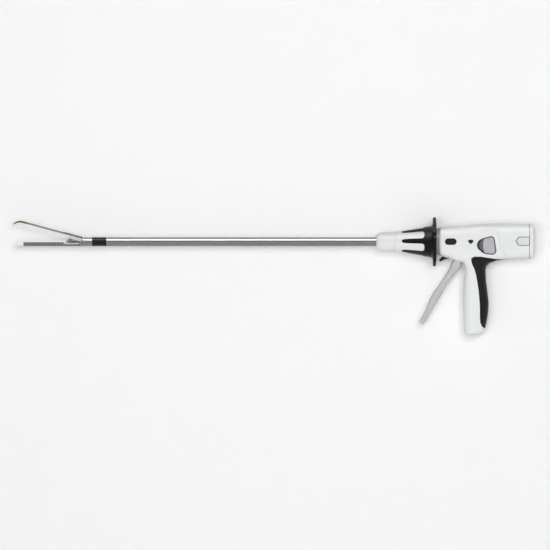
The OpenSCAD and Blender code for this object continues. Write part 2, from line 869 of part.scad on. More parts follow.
module motor() {
    color([0.6, 0.6, 0.62])
        difference() {
            bar_x(motor_front, motor_rear, motor_d / 2);
            for (s = [-1, 1])
                translate([motor_rear - motor_len / 4, -motor_d, s * motor_d / 2 - board_t / 2])
                    cube([motor_len / 8, 2 * motor_d, board_t]);
        }
}

module gearbox() {
    color([0.7, 0.7, 0.72])
        difference() {
            bar_x(gearbox_front, motor_front, gearbox_d / 2);
            for (x = [gearbox_front + gearbox_len / 3, gearbox_front + 2 * gearbox_len / 3])
                difference() {
                    bar_x(x, x + seat_ring(), gearbox_d);
                    bar_x(x - over, x + seat_ring() + over, gearbox_d / 2 - seat_ring() / 2);
                }
        }
}

function seat_ring() = gearbox_len / 25;

module gearbox_mount() {
    color([0.75, 0.76, 0.78])
        difference() {
            hull()
                for (sy = [-1, 1])
                    for (sz = [-1, 1])
                        translate([mount_x, sy * (mount_half_w - boss_r),
                            sz * (mount_half_h - boss_r)])
                            rotate([0, 90, 0])
                                cylinder(h = mount_t, r = boss_r, $fn = 32);
            bar_x(mount_x - over, mount_x + mount_t + over, screw_r + part_gap);
        }
}

module battery_contacts() {
    color("gold")
        for (s = [-1, 1])
            translate([motor_rear, s * cell_off / 2 - mount_t, -cell_off / 2])
                cube([contact_t, 2 * mount_t, cell_off]);
}

module trigger_pin() {
    color("silver")
        bar_y(trigger_x, trigger_z, -trigger_pin_half() + half_gap,
            trigger_pin_half() - half_gap, trigger_pin_r);
}

module fire_pin() {
    color("silver")
        bar_y(fire_x, fire_z, -fire_pin_half(), fire_pin_half(), fire_pin_r);
}

module closure_spring() {
    color("silver")
        difference() {
            bar_x(bulkhead_x + bulkhead_t, yoke_flange_x - run_gap, spring_r);
            bar_x(bulkhead_x, yoke_flange_x + over, bulkhead_bore_r);
        }
}

// Triggers

function blade_point(i) = [trigger_x + blade_shares[i][0] * trigger_len,
    trigger_z + blade_shares[i][1] * trigger_len];
function blade_way(i) =
    let (a = blade_point(max(0, i - 1)), b = blade_point(min(len(blade_shares) - 1, i + 1)))
    (b - a) / norm(b - a);
function blade_ring(i) =
    let (c = blade_point(i), d = blade_way(i), half = blade_shares[i][2] * trigger_len,
        wide = blade_width_shares[i] * trigger_w / 2)
    [for (k = [0 : blade_n - 1]) let (p = oval(360 * k / blade_n, blade_power))
        [c[0] - d[1] * half * p[1], wide * p[0], c[1] + d[0] * half * p[1]]];

module closing_trigger() {
    color([0.77, 0.78, 0.79])
        difference() {
            union() {
                skin([for (i = [0 : len(blade_shares) - 1]) blade_ring(i)]);
                bar_y(trigger_x, trigger_z, -trigger_w / 2, trigger_w / 2, trigger_hub_r);
                // Arm that pushes the closure yoke
                bar_y(drive_x, drive_z, -arm_half_w, arm_half_w, arm_end_r);
                translate([trigger_x, 0, trigger_z])
                    rotate([0, squeeze_deg / 2, 0])
                        translate([-arm_end_r, -arm_half_w, 0])
                            cube([2 * arm_end_r, 2 * arm_half_w, arm_len]);
            }
            bar_y(trigger_x, trigger_z, -trigger_w, trigger_w, trigger_pin_r + run_gap);
            bar_y(drive_x, drive_z, -trigger_w, trigger_w, drive_pin_r + seat_gap);
            // Oval recess on each side of the hub
            for (side = [-1, 1])
                on_side(side)
                    translate([trigger_x + palm_share[0] * trigger_len, 0,
                        trigger_z + palm_share[1] * trigger_len])
                        rotate([0, -57, 0])
                            pill_y(0, 0, palm_len, palm_h, -trigger_w / 2 - over,
                                -trigger_w / 2 + palm_depth);
        }
}

module trigger_drive_pin() {
    color("silver") bar_y(drive_x, drive_z, -drive_pin_half, drive_pin_half, drive_pin_r);
}

module fire_lever() {
    color([0.1, 0.1, 0.11])
        difference() {
            union() {
                prism_y(-fire_w / 2, fire_w / 2)
                    hull() {
                        translate([fire_x, fire_z]) circle(r = fire_eye_r);
                        translate([fire_x - fire_reach / 2, fire_z - fire_drop / 4])
                            circle(r = fire_mid_r);
                    }
                prism_y(-fire_w / 2, fire_w / 2)
                    hull() {
                        translate([fire_x - fire_reach / 2, fire_z - fire_drop / 4])
                            circle(r = fire_mid_r);
                        translate([fire_x - fire_reach + fire_tip_r, fire_z - fire_drop])
                            circle(r = fire_tip_r);
                    }
            }
            bar_y(fire_x, fire_z, -fire_w, fire_w, fire_pin_r + run_gap);
        }
}

// Drive

module closure_yoke() {
    color([0.66, 0.67, 0.7])
        difference() {
            union() {
                bar_x(yoke_front, yoke_rear, yoke_r);
                bar_x(yoke_flange_x, yoke_flange_x + yoke_flange_t, yoke_flange_r);
                // Fork that straddles the trigger's arm
                block(drive_x - arm_end_r - cheek_t, drive_x + arm_end_r + cheek_t,
                    cheek_in + cheek_t, cheek_low, -yoke_bore_r / 2);
            }
            bar_x(yoke_front - over, yoke_rear + over, yoke_bore_r);
            block(drive_x - 3 * arm_end_r, drive_x + 3 * arm_end_r, cheek_in, cheek_low - over,
                trigger_z + arm_len + arm_end_r + part_gap);
            // Upright slots of the drive pin
            drive_rise = arm_len * (1 - cos(squeeze_deg / 2));
            translate([drive_x - drive_pin_r - part_gap / 2, -trigger_w, drive_z - part_gap])
                cube([2 * drive_pin_r + part_gap, 2 * trigger_w, drive_rise + 2 * part_gap]);
            for (z = [drive_z - part_gap, drive_z + drive_rise + part_gap])
                bar_y(drive_x, z, -trigger_w, trigger_w, drive_pin_r + part_gap / 2);
        }
}

module lead_screw() {
    color("silver")
        union() {
            bar_x(screw_front, gearbox_front, screw_r - slide_gap);
            // Ridges that stand for the thread
            for (x = [screw_front + screw_r : screw_r : mount_x - screw_r])
                bar_x(x, x + screw_r / 2, screw_r);
        }
}

module firing_rod() {
    color([0.62, 0.63, 0.65])
        difference() {
            bar_x(rod_front, nut_front, rod_r);
            bar_x(screw_front - part_gap, nut_front + over, screw_r + slide_gap);
        }
}

module drive_nut() {
    color("goldenrod")
        difference() {
            bar_x(nut_front, nut_rear, nut_r);
            bar_x(nut_front - over, nut_rear + over, screw_r + slide_gap);
        }
}

// Battery

module battery_case() {
    color([0.2, 0.2, 0.22])
        difference() {
            battery_block(battery_front, barrel_rear, 0);
            for (sy = [-1, 1])
                for (sz = [-1, 1])
                    translate([battery_front + case_wall, sy * cell_off, case_z + sz * cell_off])
                        rotate([0, 90, 0])
                            cylinder(h = battery_depth, r = cell_r + half_gap);
        }
}

module battery_cells() {
    color([0.3, 0.45, 0.62])
        for (sy = [-1, 1])
            for (sz = [-1, 1])
                translate([battery_front + case_wall + half_gap, sy * cell_off,
                    case_z + sz * cell_off])
                    rotate([0, 90, 0])
                        cylinder(h = cell_len, r = cell_r);
}

module battery_cap() {
    cap_shares = [[0, 0], [0.55, 0.05], [0.82, 0.3], [1, 1]];
    cap_round = 0.7 * cap_len;
    color([0.93, 0.93, 0.94])
        skin([for (p = cap_shares)
            let (ring = barrel_ring(barrel_rear, 1, half_gap + cap_round * p[1]))
            [for (q = ring) [barrel_rear + part_gap / 2 + (cap_len - part_gap / 2) * p[0], q[1], q[2]]]]);
}

module battery_latch(side) {
    outer = barrel_wide(latch_front, 1) - latch_sunk;
    mid = (latch_high + latch_low) / 2;
    color([0.9, 0.9, 0.91])
        on_side(side) {
            intersection() {
                prism_y(-outer, -outer + latch_t) latch_outline(-latch_edge);
                block(latch_front, barrel_rear - part_gap, big, latch_low, latch_high);
            }
            bar_y(latch_front + latch_bump_r * 4, mid, -outer - 2 * latch_sunk, -outer,
                latch_bump_r);
        }
}

module battery_latch_left() {
    battery_latch(-1);
}

module battery_latch_right() {
    battery_latch(1);
}

// Knob and shaft

module nose_cone() {
    nose_r = nose_d / 2;
    tip_r = 0.66 * nose_r;
    color("white")
        turned([[spigot_r + seat_gap, 0], [tip_r, 0], [0.82 * nose_r, 0.06 * nose_len],
            [0.93 * nose_r, 0.14 * nose_len], [0.985 * nose_r, 0.25 * nose_len],
            [nose_r, 0.42 * nose_len], [nose_r, 0.94 * nose_len], [groove_r, 0.94 * nose_len],
            [groove_r, knob_front], [spigot_r + seat_gap, knob_front]]);
}

function knob_r(x) =
    knob_small_d / 2 + (knob_large_d - knob_small_d) / 2 * (x - knob_front) / knob_len;

module knob_body() {
    front_plug = knob_front + 3 * knob_wall;
    rear_wall = knob_rear - 2 * knob_wall;
    sleeve_r = hub_bore_r + knob_wall;
    hub_rear = barrel_front + front_wall + part_gap;
    bore_front = screw_front - nut_len / 2;
    color("white")
        difference() {
            union() {
                turned([[0, knob_front], [knob_r(knob_front) - knob_wall / 2, knob_front],
                    [knob_r(knob_front), knob_front + knob_wall / 2],
                    [knob_r(knob_rear), knob_rear], [0, knob_rear]]);
                bar_x(knob_rear - over, hub_rear + over, hub_r);
                bar_x(hub_rear, hub_rear + lip_t, lip_r);
            }
            // Hollow between the outer wall and the sleeve
            turned([[sleeve_r, front_plug], [knob_r(front_plug) - knob_wall, front_plug],
                [knob_r(rear_wall) - knob_wall, rear_wall], [sleeve_r, rear_wall]]);
            bar_x(knob_front - over, spigot_len + over, spigot_r + seat_gap);
            bar_x(spigot_len, hub_rear + lip_t + over, hub_bore_r);
        }
}

module knob_grip() {
    collar_front = knob_front + band_share * knob_len;
    flange_front_x = knob_rear - flange_t;
    band_r = knob_r(collar_front) + rib_h;
    root_r = flange_root_r;
    edge = flange_t / 3;
    rib_front = knob_front + rib_front_share * knob_len * 0.86;
    color([0.1, 0.1, 0.11])
        difference() {
            union() {
                // Band and flange
                turned([[knob_r(collar_front) + seat_gap, collar_front], [band_r, collar_front],
                    [knob_r(flange_front_x) + rib_h, flange_front_x - 1.5 * edge],
                    [root_r, flange_front_x - edge / 2], [root_r + edge, flange_front_x],
                    [flange_r - edge, flange_front_x], [flange_r - edge / 3, flange_front_x + edge / 3],
                    [flange_r, flange_front_x + edge], [flange_r, knob_rear - edge],
                    [flange_r - edge, knob_rear],
                    [knob_r(knob_rear) + seat_gap, knob_rear]]);
                // Ribs along the cone
                intersection() {
                    turned([[knob_r(rib_front) + seat_gap, rib_front],
                        [knob_r(rib_front) + rib_tip_share * rib_h, rib_front],
                        [knob_r(collar_front) + rib_h, collar_front + edge],
                        [knob_r(collar_front + edge) + seat_gap, collar_front + edge]]);
                    for (i = [0 : rib_count - 1])
                        rotate([rib_phase + 360 * i / rib_count, 0, 0])
                            rib_plan(rib_front, collar_front + 2 * edge);
                }
            }
            // Scallops round the rim
            for (i = [0 : lobe_count - 1])
                rotate([360 * (i + 0.5) / lobe_count, 0, 0])
                    translate([flange_front_x - over, 0, flange_r + lobe_cut_r - lobe_depth])
                        rotate([0, 90, 0])
                            cylinder(h = flange_t + 2 * over, r = lobe_cut_r);
        }
}

// Outline of one rib as seen from its side, round at the front, wider towards the flange
module rib_plan(from, to) {
    wide = rib_root_w / 2;
    depth = knob_large_d;
    root = knob_front + band_share * knob_len;
    straight = root - rib_corner_r;
    side = concat(
        [for (p = rib_shares) [from + p[0] * (straight - from), p[1] * wide]],
        [for (a = [15 : 15 : 90])
            [straight + rib_corner_r * sin(a), wide + rib_corner_r * (1 - cos(a))]],
        [[to, wide + rib_corner_r]]);
    prism_y(-depth, 0)
        polygon(concat(side, [for (i = [len(side) - 1 : -1 : 0]) [side[i][0], -side[i][1]]]));
}

module shaft_tube() {
    color("silver")
        difference() {
            union() {
                bar_x(-shaft_len, 0, shaft_r);
                bar_x(-over, spigot_len, spigot_r);
            }
            bar_x(-shaft_len - over, spigot_len + over, shaft_bore_r);
        }
}

// Articulation joint

// Room that the other half's disc and body sweep when the joint turns, opening to +X
module sweep_room(z0, z1) {
    clear_r = joint_r + swing_gap;
    side_r = joint_r + swing_gap / 2;
    reach = joint_r * sqrt(2);
    wing_x = -side_r * cos(artic_deg) + reach * sin(artic_deg);
    wing_y = side_r * sin(artic_deg) + reach * cos(artic_deg);
    translate([joint_x, 0, z0])
        linear_extrude(z1 - z0) {
            circle(r = clear_r);
            for (s = [-1, 1])
                polygon([[0, 0], [-side_r * cos(artic_deg), s * side_r * sin(artic_deg)],
                    [wing_x, s * wing_y], [joint_r, s * wing_y], [joint_r, 0]]);
        }
}

module band_slot(x0, x1) {
    block(x0, x1, band_t / 2 + band_room, -band_h / 2 - slide_gap, band_h / 2 + slide_gap);
}

module knuckle_base() {
    color([0.12, 0.12, 0.13])
        difference() {
            union() {
                bar_x(-shaft_len, -shaft_len + plug_len, plug_r);
                intersection() {
                    bar_x(joint_front, -shaft_len, joint_r);
                    union() {
                        block(joint_x, -shaft_len, joint_d, -joint_d, joint_d);
                        translate([joint_x, 0, -joint_d]) cylinder(h = 2 * joint_d, r = joint_r);
                    }
                }
            }
            // Gap that the tongue turns in
            translate([2 * joint_x, 0, 0]) mirror([1, 0, 0])
                sweep_room(-ear_z, ear_z);
            for (s = [-1, 1])
                translate([joint_x, 0, s > 0 ? ear_z - over : -joint_r])
                    cylinder(h = joint_r - ear_z + over - band_t, r = knuckle_pin_r + seat_gap);
            band_slot(joint_front, -shaft_len + plug_len + over);
        }
}

module knuckle_pins() {
    pin_low = band_h / 2 + slide_gap;
    color("silver")
        for (s = [0, 1])
            mirror([0, 0, s])
                translate([joint_x, 0, pin_low])
                    cylinder(h = joint_r - band_t - pin_low - half_gap, r = knuckle_pin_r);
}

module knuckle_link() {
    tongue_z = ear_z - slide_gap / 2;
    color([0.12, 0.12, 0.13])
        difference() {
            union() {
                // Collar towards the jaws, cut back for the ears
                difference() {
                    bar_x(joint_front, joint_x, joint_r);
                    sweep_room(ear_z - slide_gap / 2, joint_d);
                    sweep_room(-joint_d, -ear_z + slide_gap / 2);
                }
                // Tongue between the ears
                intersection() {
                    bar_x(joint_front, -shaft_len, joint_r);
                    translate([joint_x, 0, -tongue_z]) cylinder(h = 2 * tongue_z, r = joint_r);
                }
                bar_x(joint_front - plug_len + over, joint_front, jaw_bore_r - seat_gap);
            }
            translate([joint_x, 0, -joint_d])
                cylinder(h = 2 * joint_d, r = knuckle_pin_r + run_gap);
            band_slot(joint_front - plug_len, -shaft_len);
        }
}

module drive_band() {
    color("silver")
        block(knife_front + knife_len, band_rear, band_t / 2, -band_h / 2, band_h / 2);
}

// Jaws

// Everything behind the slanted mouth of the sleeve, moved forwards by a gap
module behind_mouth(gap) {
    prism_y(-joint_d, joint_d)
        polygon([[mouth_low - gap, -shaft_r], [mouth_high - gap, shaft_r],
            [mouth_high - gap, joint_d], [joint_front + joint_len, joint_d],
            [joint_front + joint_len, -joint_d], [mouth_low - gap, -joint_d]]);
}

module jaw_tube() {
    color("silver")
        difference() {
            intersection() {
                bar_x(mouth_low - over, joint_front, shaft_r);
                behind_mouth(0);
            }
            bar_x(mouth_low - 2 * over, joint_front + over, jaw_bore_r);
        }
}

module channel() {
    floor_t = 0.8;
    floor_z = -jaw_r + channel_wall + floor_t;
    cheek_gap = 3.8;
    cheek_rise = 2.2;
    cheek_top = pivot_z + cheek_rise;
    tail_rear = joint_front - plug_len + over - half_gap;
    low_front = flange_front - part_gap;
    color([0.3, 0.3, 0.32])
        difference() {
            union() {
                difference() {
                    bar_x(channel_front, channel_rear, jaw_r);
                    bar_x(channel_front - over, channel_rear + over, jaw_r - channel_wall);
                    block(channel_front - over, channel_rear + over, joint_d, channel_top, joint_d);
                    block(low_front, channel_rear + over, joint_d, channel_low_top, joint_d);
                }
                // Tail inside the sleeve, with the two cheeks that hold the anvil's pin
                difference() {
                    bar_x(channel_rear - 3 * channel_wall, tail_rear, tail_r);
                    block(channel_rear - 4 * channel_wall, tail_rear + over, cheek_gap,
                        floor_z, joint_d);
                    block(channel_rear - 4 * channel_wall, tail_rear + over, joint_d,
                        cheek_top, joint_d);
                    block(channel_rear - 4 * channel_wall, pivot_x - 1.9 * pivot_pin_r,
                        joint_d, channel_low_top, joint_d);
                }
            }
            bar_y(pivot_x, pivot_z, -joint_d, joint_d, pivot_pin_r + seat_gap);
            // Windows along both walls
            for (i = [0 : window_count - 1])
                bar_y(channel_front + channel_len * (window_first_share + window_step_share * i),
                    (channel_top - jaw_r) / 2, -joint_d, joint_d, window_d / 2);
        }
}

// Two stub pins, so that the drive band passes between them
module anvil_pin() {
    color("silver")
        intersection() {
            for (side = [-1, 1])
                on_side(side)
                    bar_y(pivot_x, pivot_z, -joint_d, -t_slot_half_w - slide_gap, pivot_pin_r);
            bar_x(pivot_x - joint_d, pivot_x + joint_d, tail_r - seat_gap);
        }
}

// Places a piece of the upper jaw, drawn closed, in its open rest position
module opened() {
    translate([pivot_x, 0, pivot_z])
        rotate([0, open_deg, 0])
            translate([-pivot_x, 0, -pivot_z]) children();
}

module anvil() {
    bar_top = jaw_r - bar_drop;
    thick_ahead = 6;
    ramp_len = 3;
    heel_cut = 4;
    thick_front = flange_front - thick_ahead;
    cheek_in_y = 2.7;
    cheek_out_y = 3.7;
    eye_r = 2.4;
    pocket_ahead = 0.9;
    mouth_room = 0.35;
    pocket_front = knife_front - pocket_ahead;
    color([0.55, 0.56, 0.58])
        opened()
            difference() {
                union() {
                    // Thin bar in front, thick bar behind
                    intersection() {
                        bar_x(anvil_split, anvil_rear, jaw_r);
                        union() {
                            block(anvil_split, thick_front + over, joint_d, anvil_under, bar_top);
                            prism_y(-joint_d, joint_d)
                                polygon([[thick_front - ramp_len, anvil_under],
                                    [thick_front - ramp_len, bar_top],
                                    [thick_front, joint_r], [anvil_rear, joint_r],
                                    [anvil_rear, anvil_under]]);
                        }
                    }
                    // Side flanges
                    difference() {
                        intersection() {
                            bar_x(flange_front, anvil_rear, jaw_r);
                            prism_y(-joint_d, joint_d)
                                polygon([[flange_front, anvil_under + flange_wall],
                                    [flange_front, anvil_under / 2],
                                    [flange_front + 3 * flange_wall, flange_low],
                                    [anvil_rear, flange_low],
                                    [anvil_rear, anvil_under + flange_wall]]);
                        }
                        bar_x(flange_front - over, anvil_rear + over, jaw_r - flange_wall);
                        behind_mouth(mouth_room);
                    }
                    // Cheeks to the pivot
                    for (s = [-1, 1])
                        translate([0, s * (cheek_in_y + cheek_out_y) / 2, 0]) {
                            bar_y(pivot_x, pivot_z, -flange_wall / 2, flange_wall / 2, eye_r);
                            block(anvil_rear - heel_cut, pivot_x, flange_wall / 2,
                                pivot_z - eye_r + slide_gap, pivot_z + eye_r - slide_gap);
                        }
                }
                bar_y(pivot_x, pivot_z, -joint_d, joint_d, pivot_pin_r + run_gap);
                // Knife slot and its wide part, and the pocket that lets the knife's head in
                block(slot_end, anvil_rear + over, knife_slot_w / 2, -joint_d, t_slot_z + over / 2);
                block(slot_end, anvil_rear + over, t_slot_half_w, t_slot_z, t_slot_z + t_slot_h);
                block(pocket_front, anvil_rear + over, t_slot_half_w, 0, t_slot_z + t_slot_h);
                // Staple-forming pockets
                staple_rows(anvil_under - over, anvil_under + pocket_depth / 4);
            }
}

module staple_rows(z0, z1) {
    for (side = [-1, 1])
        for (r = [0 : len(row_y) - 1])
            for (i = [0 : pocket_count - 1])
                translate([cart_rear - staple_pitch * (i + 1 + (r == 1 ? 0.5 : 0)) - pocket_len / 2,
                    side * row_y[r] - pocket_w / 2, z0])
                    cube([pocket_len, pocket_w, z1 - z0]);
}

module anvil_tip() {
    tip_top = jaw_r - bar_drop;
    side_shares = [[0, 0], [0.38, 0], [0.55, 0.07], [0.7, 0.24], [0.86, 0.56], [1, 1],
        [0.955, 1.06], [0.8, 0.74], [0.65, 0.5], [0.5, 0.38], [0.3, 0.34], [0, 0.342]];
    plan_shares = [[0, 1], [0.5, 0.96], [0.75, 0.82], [0.9, 0.62], [0.98, 0.4], [1, 0.2]];
    color([0.72, 0.58, 0.3])
        opened()
            intersection() {
                bar_x(tip_end_x, anvil_split, jaw_r);
                prism_y(-joint_d, joint_d)
                    polygon([for (p = side_shares)
                        [anvil_split - p[0] * tip_len, tip_top - p[1] * tip_drop]]);
                translate([0, 0, -joint_d])
                    linear_extrude(2 * joint_d)
                        polygon(concat(
                            [for (p = plan_shares) [anvil_split - p[0] * tip_len, p[1] * jaw_r]],
                            [for (i = [len(plan_shares) - 1 : -1 : 0])
                                [anvil_split - plan_shares[i][0] * tip_len, -plan_shares[i][1] * jaw_r]]));
            }
}

module cartridge() {
    nose_len_x = channel_front - nose_front;
    nose_shares = [[0, 0], [0.18, 0], [0.4, 0.1], [0.66, 0.3], [0.87, 0.48], [1, 0.66],
        [0.97, 0.82], [0.8, 0.94], [0.6, 1], [0, 1]];
    nose_h = deck_z + jaw_r;
    foot_room = slide_gap;
    cavity_half = 3;
    color([0.93, 0.93, 0.9])
        difference() {
            union() {
                // Body in the channel
                intersection() {
                    bar_x(channel_front - over, cart_rear, cart_r);
                    block(nose_front, cart_rear, joint_d, -joint_d, deck_z);
                }
                // Deck on the channel's edges
                intersection() {
                    bar_x(channel_front - over, cart_rear, jaw_r);
                    block(nose_front, cart_rear, deck_half_w, channel_top + seat_gap, deck_z);
                }
                // Ramped nose
                intersection() {
                    bar_x(nose_front, channel_front - seat_gap, jaw_r);
                    prism_y(-joint_d, joint_d)
                        polygon([for (p = nose_shares)
                            [channel_front - seat_gap - p[0] * (nose_len_x - seat_gap),
                                deck_z - p[1] * nose_h]]);
                    block(nose_front, channel_front, deck_half_w, -joint_d, joint_d);
                }
            }
            // Knife slot, foot slot and the sled's track
            block(slot_end, cart_rear + over, knife_slot_w / 2, -joint_d, joint_d);
            block(slot_end, cart_rear + over, foot_half_w + foot_room, -joint_d,
                knife_low + foot_h + foot_room);
            block(knife_front - knife_stroke - sled_len - part_gap, cart_rear + over, cavity_half,
                -cavity_half - foot_room, -foot_room);
            staple_rows(deck_z - pocket_depth, deck_z + over);
        }
}

module knife_blade() {
    head_low = t_slot_z + slide_gap / 2;
    head_high = t_slot_z + t_slot_h - slide_gap / 2;
    color("silver")
        union() {
            prism_y(-knife_t / 2, knife_t / 2)
                polygon([[knife_front + 0.3 * knife_len, knife_low], [knife_front + knife_len, knife_low],
                    [knife_front + knife_len, head_high], [knife_front + 0.3 * knife_len, head_high],
                    [knife_front + 0.45 * knife_len, head_low - slide_gap],
                    [knife_front + 0.05 * knife_len, 0],
                    [knife_front + 0.2 * knife_len, knife_low + foot_h]]);
            block(knife_front + 0.35 * knife_len, knife_front + knife_len, knife_head_half_w,
                head_low, head_high);
            block(knife_front + 0.35 * knife_len, knife_front + knife_len, foot_half_w,
                knife_low, knife_low + foot_h);
        }
}

module wedge_sled() {
    sled_half = 2.8;
    sled_low = -2.9;
    sled_high = -0.5;
    sled_rear = knife_front - part_gap / 2;
    color([0.75, 0.6, 0.35])
        difference() {
            prism_y(-sled_half, sled_half)
                polygon([[sled_rear, sled_low], [sled_rear - sled_len + part_gap, sled_low],
                    [sled_rear - sled_len + part_gap, sled_low + knife_t],
                    [sled_rear - sled_len / 3, sled_high],
                    [sled_rear, sled_high]]);
            // Grooves between the ramps
            for (y = [-row_y[0], 0, row_y[0]])
                translate([sled_rear - 2 * sled_len, y - pocket_w / 2, sled_low + knife_t])
                    cube([3 * sled_len, pocket_w, joint_d]);
        }
}

housing_left();
housing_right();
grip_overmould();
front_collar();
housing_screws();
status_window();
release_bezel_left();
release_bezel_right();
circuit_board();
motor();
gearbox();
gearbox_mount();
battery_contacts();
trigger_pin();
fire_pin();
closure_spring();
closing_trigger();
trigger_drive_pin();
fire_lever();
rocker_left();
rocker_right();
release_button_left();
release_button_right();
closure_yoke();
lead_screw();
firing_rod();
drive_nut();
battery_case();
battery_cap();
battery_cells();
battery_latch_left();
battery_latch_right();
nose_cone();
knob_body();
knob_grip();
shaft_tube();
knuckle_base();
knuckle_pins();
drive_band();
knuckle_link();
jaw_tube();
channel();
anvil_pin();
anvil();
anvil_tip();
cartridge();
knife_blade();
wedge_sled();
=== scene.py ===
"""Looks of the powered endoscopic linear cutter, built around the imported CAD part.

All lengths are in metres in the shared frame: the origin is on the shaft's axis where the
shaft leaves the rotation knob, the jaws point along -X, and the grip hangs down along -Z.
"""

import json
import logging
import math
from dataclasses import dataclass, field
from enum import Enum
from functools import cached_property
from typing import Any, Callable, ClassVar, Iterable, Optional, Sequence

import bmesh
import bpy
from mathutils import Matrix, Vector

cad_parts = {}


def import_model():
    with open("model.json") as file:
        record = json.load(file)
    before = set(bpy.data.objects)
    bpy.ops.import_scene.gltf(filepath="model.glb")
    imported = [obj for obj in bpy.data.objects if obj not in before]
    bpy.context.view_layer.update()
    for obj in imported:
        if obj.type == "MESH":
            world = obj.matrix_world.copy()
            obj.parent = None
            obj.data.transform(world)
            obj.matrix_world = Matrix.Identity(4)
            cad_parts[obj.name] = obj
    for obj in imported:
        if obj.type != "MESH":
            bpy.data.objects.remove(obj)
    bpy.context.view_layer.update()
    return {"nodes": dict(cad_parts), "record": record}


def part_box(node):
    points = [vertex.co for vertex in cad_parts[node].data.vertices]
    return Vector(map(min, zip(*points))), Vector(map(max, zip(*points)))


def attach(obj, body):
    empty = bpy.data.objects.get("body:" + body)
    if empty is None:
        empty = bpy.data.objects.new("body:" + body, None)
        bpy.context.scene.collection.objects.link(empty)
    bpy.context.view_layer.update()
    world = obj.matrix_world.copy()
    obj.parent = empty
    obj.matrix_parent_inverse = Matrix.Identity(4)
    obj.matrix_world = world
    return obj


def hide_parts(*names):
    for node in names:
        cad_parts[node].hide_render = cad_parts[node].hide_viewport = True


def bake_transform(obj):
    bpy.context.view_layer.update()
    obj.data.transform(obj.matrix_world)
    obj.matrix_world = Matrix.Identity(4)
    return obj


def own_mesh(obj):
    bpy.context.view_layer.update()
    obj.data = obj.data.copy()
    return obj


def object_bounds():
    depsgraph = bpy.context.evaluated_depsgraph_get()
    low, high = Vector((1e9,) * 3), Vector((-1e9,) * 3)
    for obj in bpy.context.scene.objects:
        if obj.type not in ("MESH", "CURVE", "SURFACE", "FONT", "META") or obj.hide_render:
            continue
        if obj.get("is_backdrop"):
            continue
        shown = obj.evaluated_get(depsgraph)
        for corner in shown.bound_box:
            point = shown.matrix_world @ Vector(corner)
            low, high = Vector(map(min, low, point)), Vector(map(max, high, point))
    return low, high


FRAME: dict[str, Any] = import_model()
LOG = logging.getLogger("cutter")
MM_PER_METRE: float = 1000.0
Colour = tuple[float, float, float]
Point = tuple[float, float, float]
Socket = bpy.types.NodeSocket
Node = bpy.types.Node
Tree = bpy.types.NodeTree
Values = dict[Any, Any]
Shaper = Callable[[bmesh.types.BMesh], None]


class Axis(Enum):
    """Direction that a metal piece was drawn or turned along, as the pull on its lines."""

    X = (1.0, 26.0, 26.0)
    Y = (26.0, 1.0, 26.0)


class Sheen(Enum):
    """How glossy a finish is, as a mean roughness and its spread."""

    MATT = (0.62, 0.07)
    HANDLED = (0.54, 0.1)
    SATIN = (0.42, 0.08)
    SOFT_GLOSS = (0.3, 0.07)


def from_screen(red: int, green: int, blue: int) -> Colour:
    """Turn a colour as seen on a screen into the linear colour that a shader takes.

    Args:
        red: Red from 0 to 255.
        green: Green from 0 to 255.
        blue: Blue from 0 to 255.

    Returns:
        The linear colour.
    """
    toe, toe_slope, lift, power = 0.04045, 12.92, 0.055, 2.4
    shares = (red / 255, green / 255, blue / 255)
    return tuple(
        share / toe_slope if share <= toe else ((share + lift) / (1 + lift)) ** power
        for share in shares
    )


def shade(colour: Colour, share: float) -> Colour:
    """Return the colour made lighter or darker by a share."""
    return tuple(min(1.0, c * share) for c in colour)


def rgba(colour: Colour) -> tuple[float, float, float, float]:
    """Return the colour with full opacity."""
    return (*colour, 1.0)


def link(piece: bpy.types.Object) -> None:
    """Put an object into the scene."""
    bpy.context.scene.collection.objects.link(piece)


@dataclass
class Sheet:
    """A node tree that is being drawn up."""

    tree: Tree

    def join(self, source: Any, target: Socket) -> None:
        """Link a source to an input, or set the input where the source is a plain value."""
        if isinstance(source, Socket):
            self.tree.links.new(source, target)
        else:
            target.default_value = source

    def add(self, kind: str, values: Optional[Values] = None, **settings: Any) -> Node:
        """Add a node, set its properties and feed its inputs.

        Args:
            kind: Blender's name of the node type.
            values: A socket or a plain value for each named or numbered input.
            **settings: Properties of the node.

        Returns:
            The new node.
        """
        node = self.tree.nodes.new(kind)
        for key, value in settings.items():
            setattr(node, key, value)
        for key, value in (values or {}).items():
            self.join(value, node.inputs[key])
        return node

    def maths(self, operation: str, *terms: Any) -> Socket:
        """Add a Math node.

        Args:
            operation: Name of the operation.
            *terms: The sockets or numbers that it takes.

        Returns:
            The result's socket.
        """
        node = self.add("ShaderNodeMath", dict(enumerate(terms)), operation=operation)
        return node.outputs[0]

    def mix(self, factor: Socket, first: Any, second: Any) -> Socket:
        """Blend two colours.

        Args:
            factor: Nought for the first colour and one for the second.
            first: A socket or a colour with its opacity.
            second: A socket or a colour with its opacity.

        Returns:
            The blended colour.
        """
        values = {"Factor": factor, "A": first, "B": second}
        return self.add("ShaderNodeMix", values, data_type="RGBA").outputs["Result"]

    def noise(self, place: Socket, scale: Socket, detail: float, rough: float = 0.5) -> Socket:
        """Add a cloudy noise and return its value."""
        values = {"Vector": place, "Scale": scale, "Detail": detail, "Roughness": rough}
        return self.add("ShaderNodeTexNoise", values).outputs[0]

    def spread(self, value: Socket, low: float, high: float) -> Socket:
        """Stretch the values between two limits to the span from nought to one."""
        values = {"Value": value, "From Min": low, "From Max": high}
        return self.add("ShaderNodeMapRange", values).outputs["Result"]


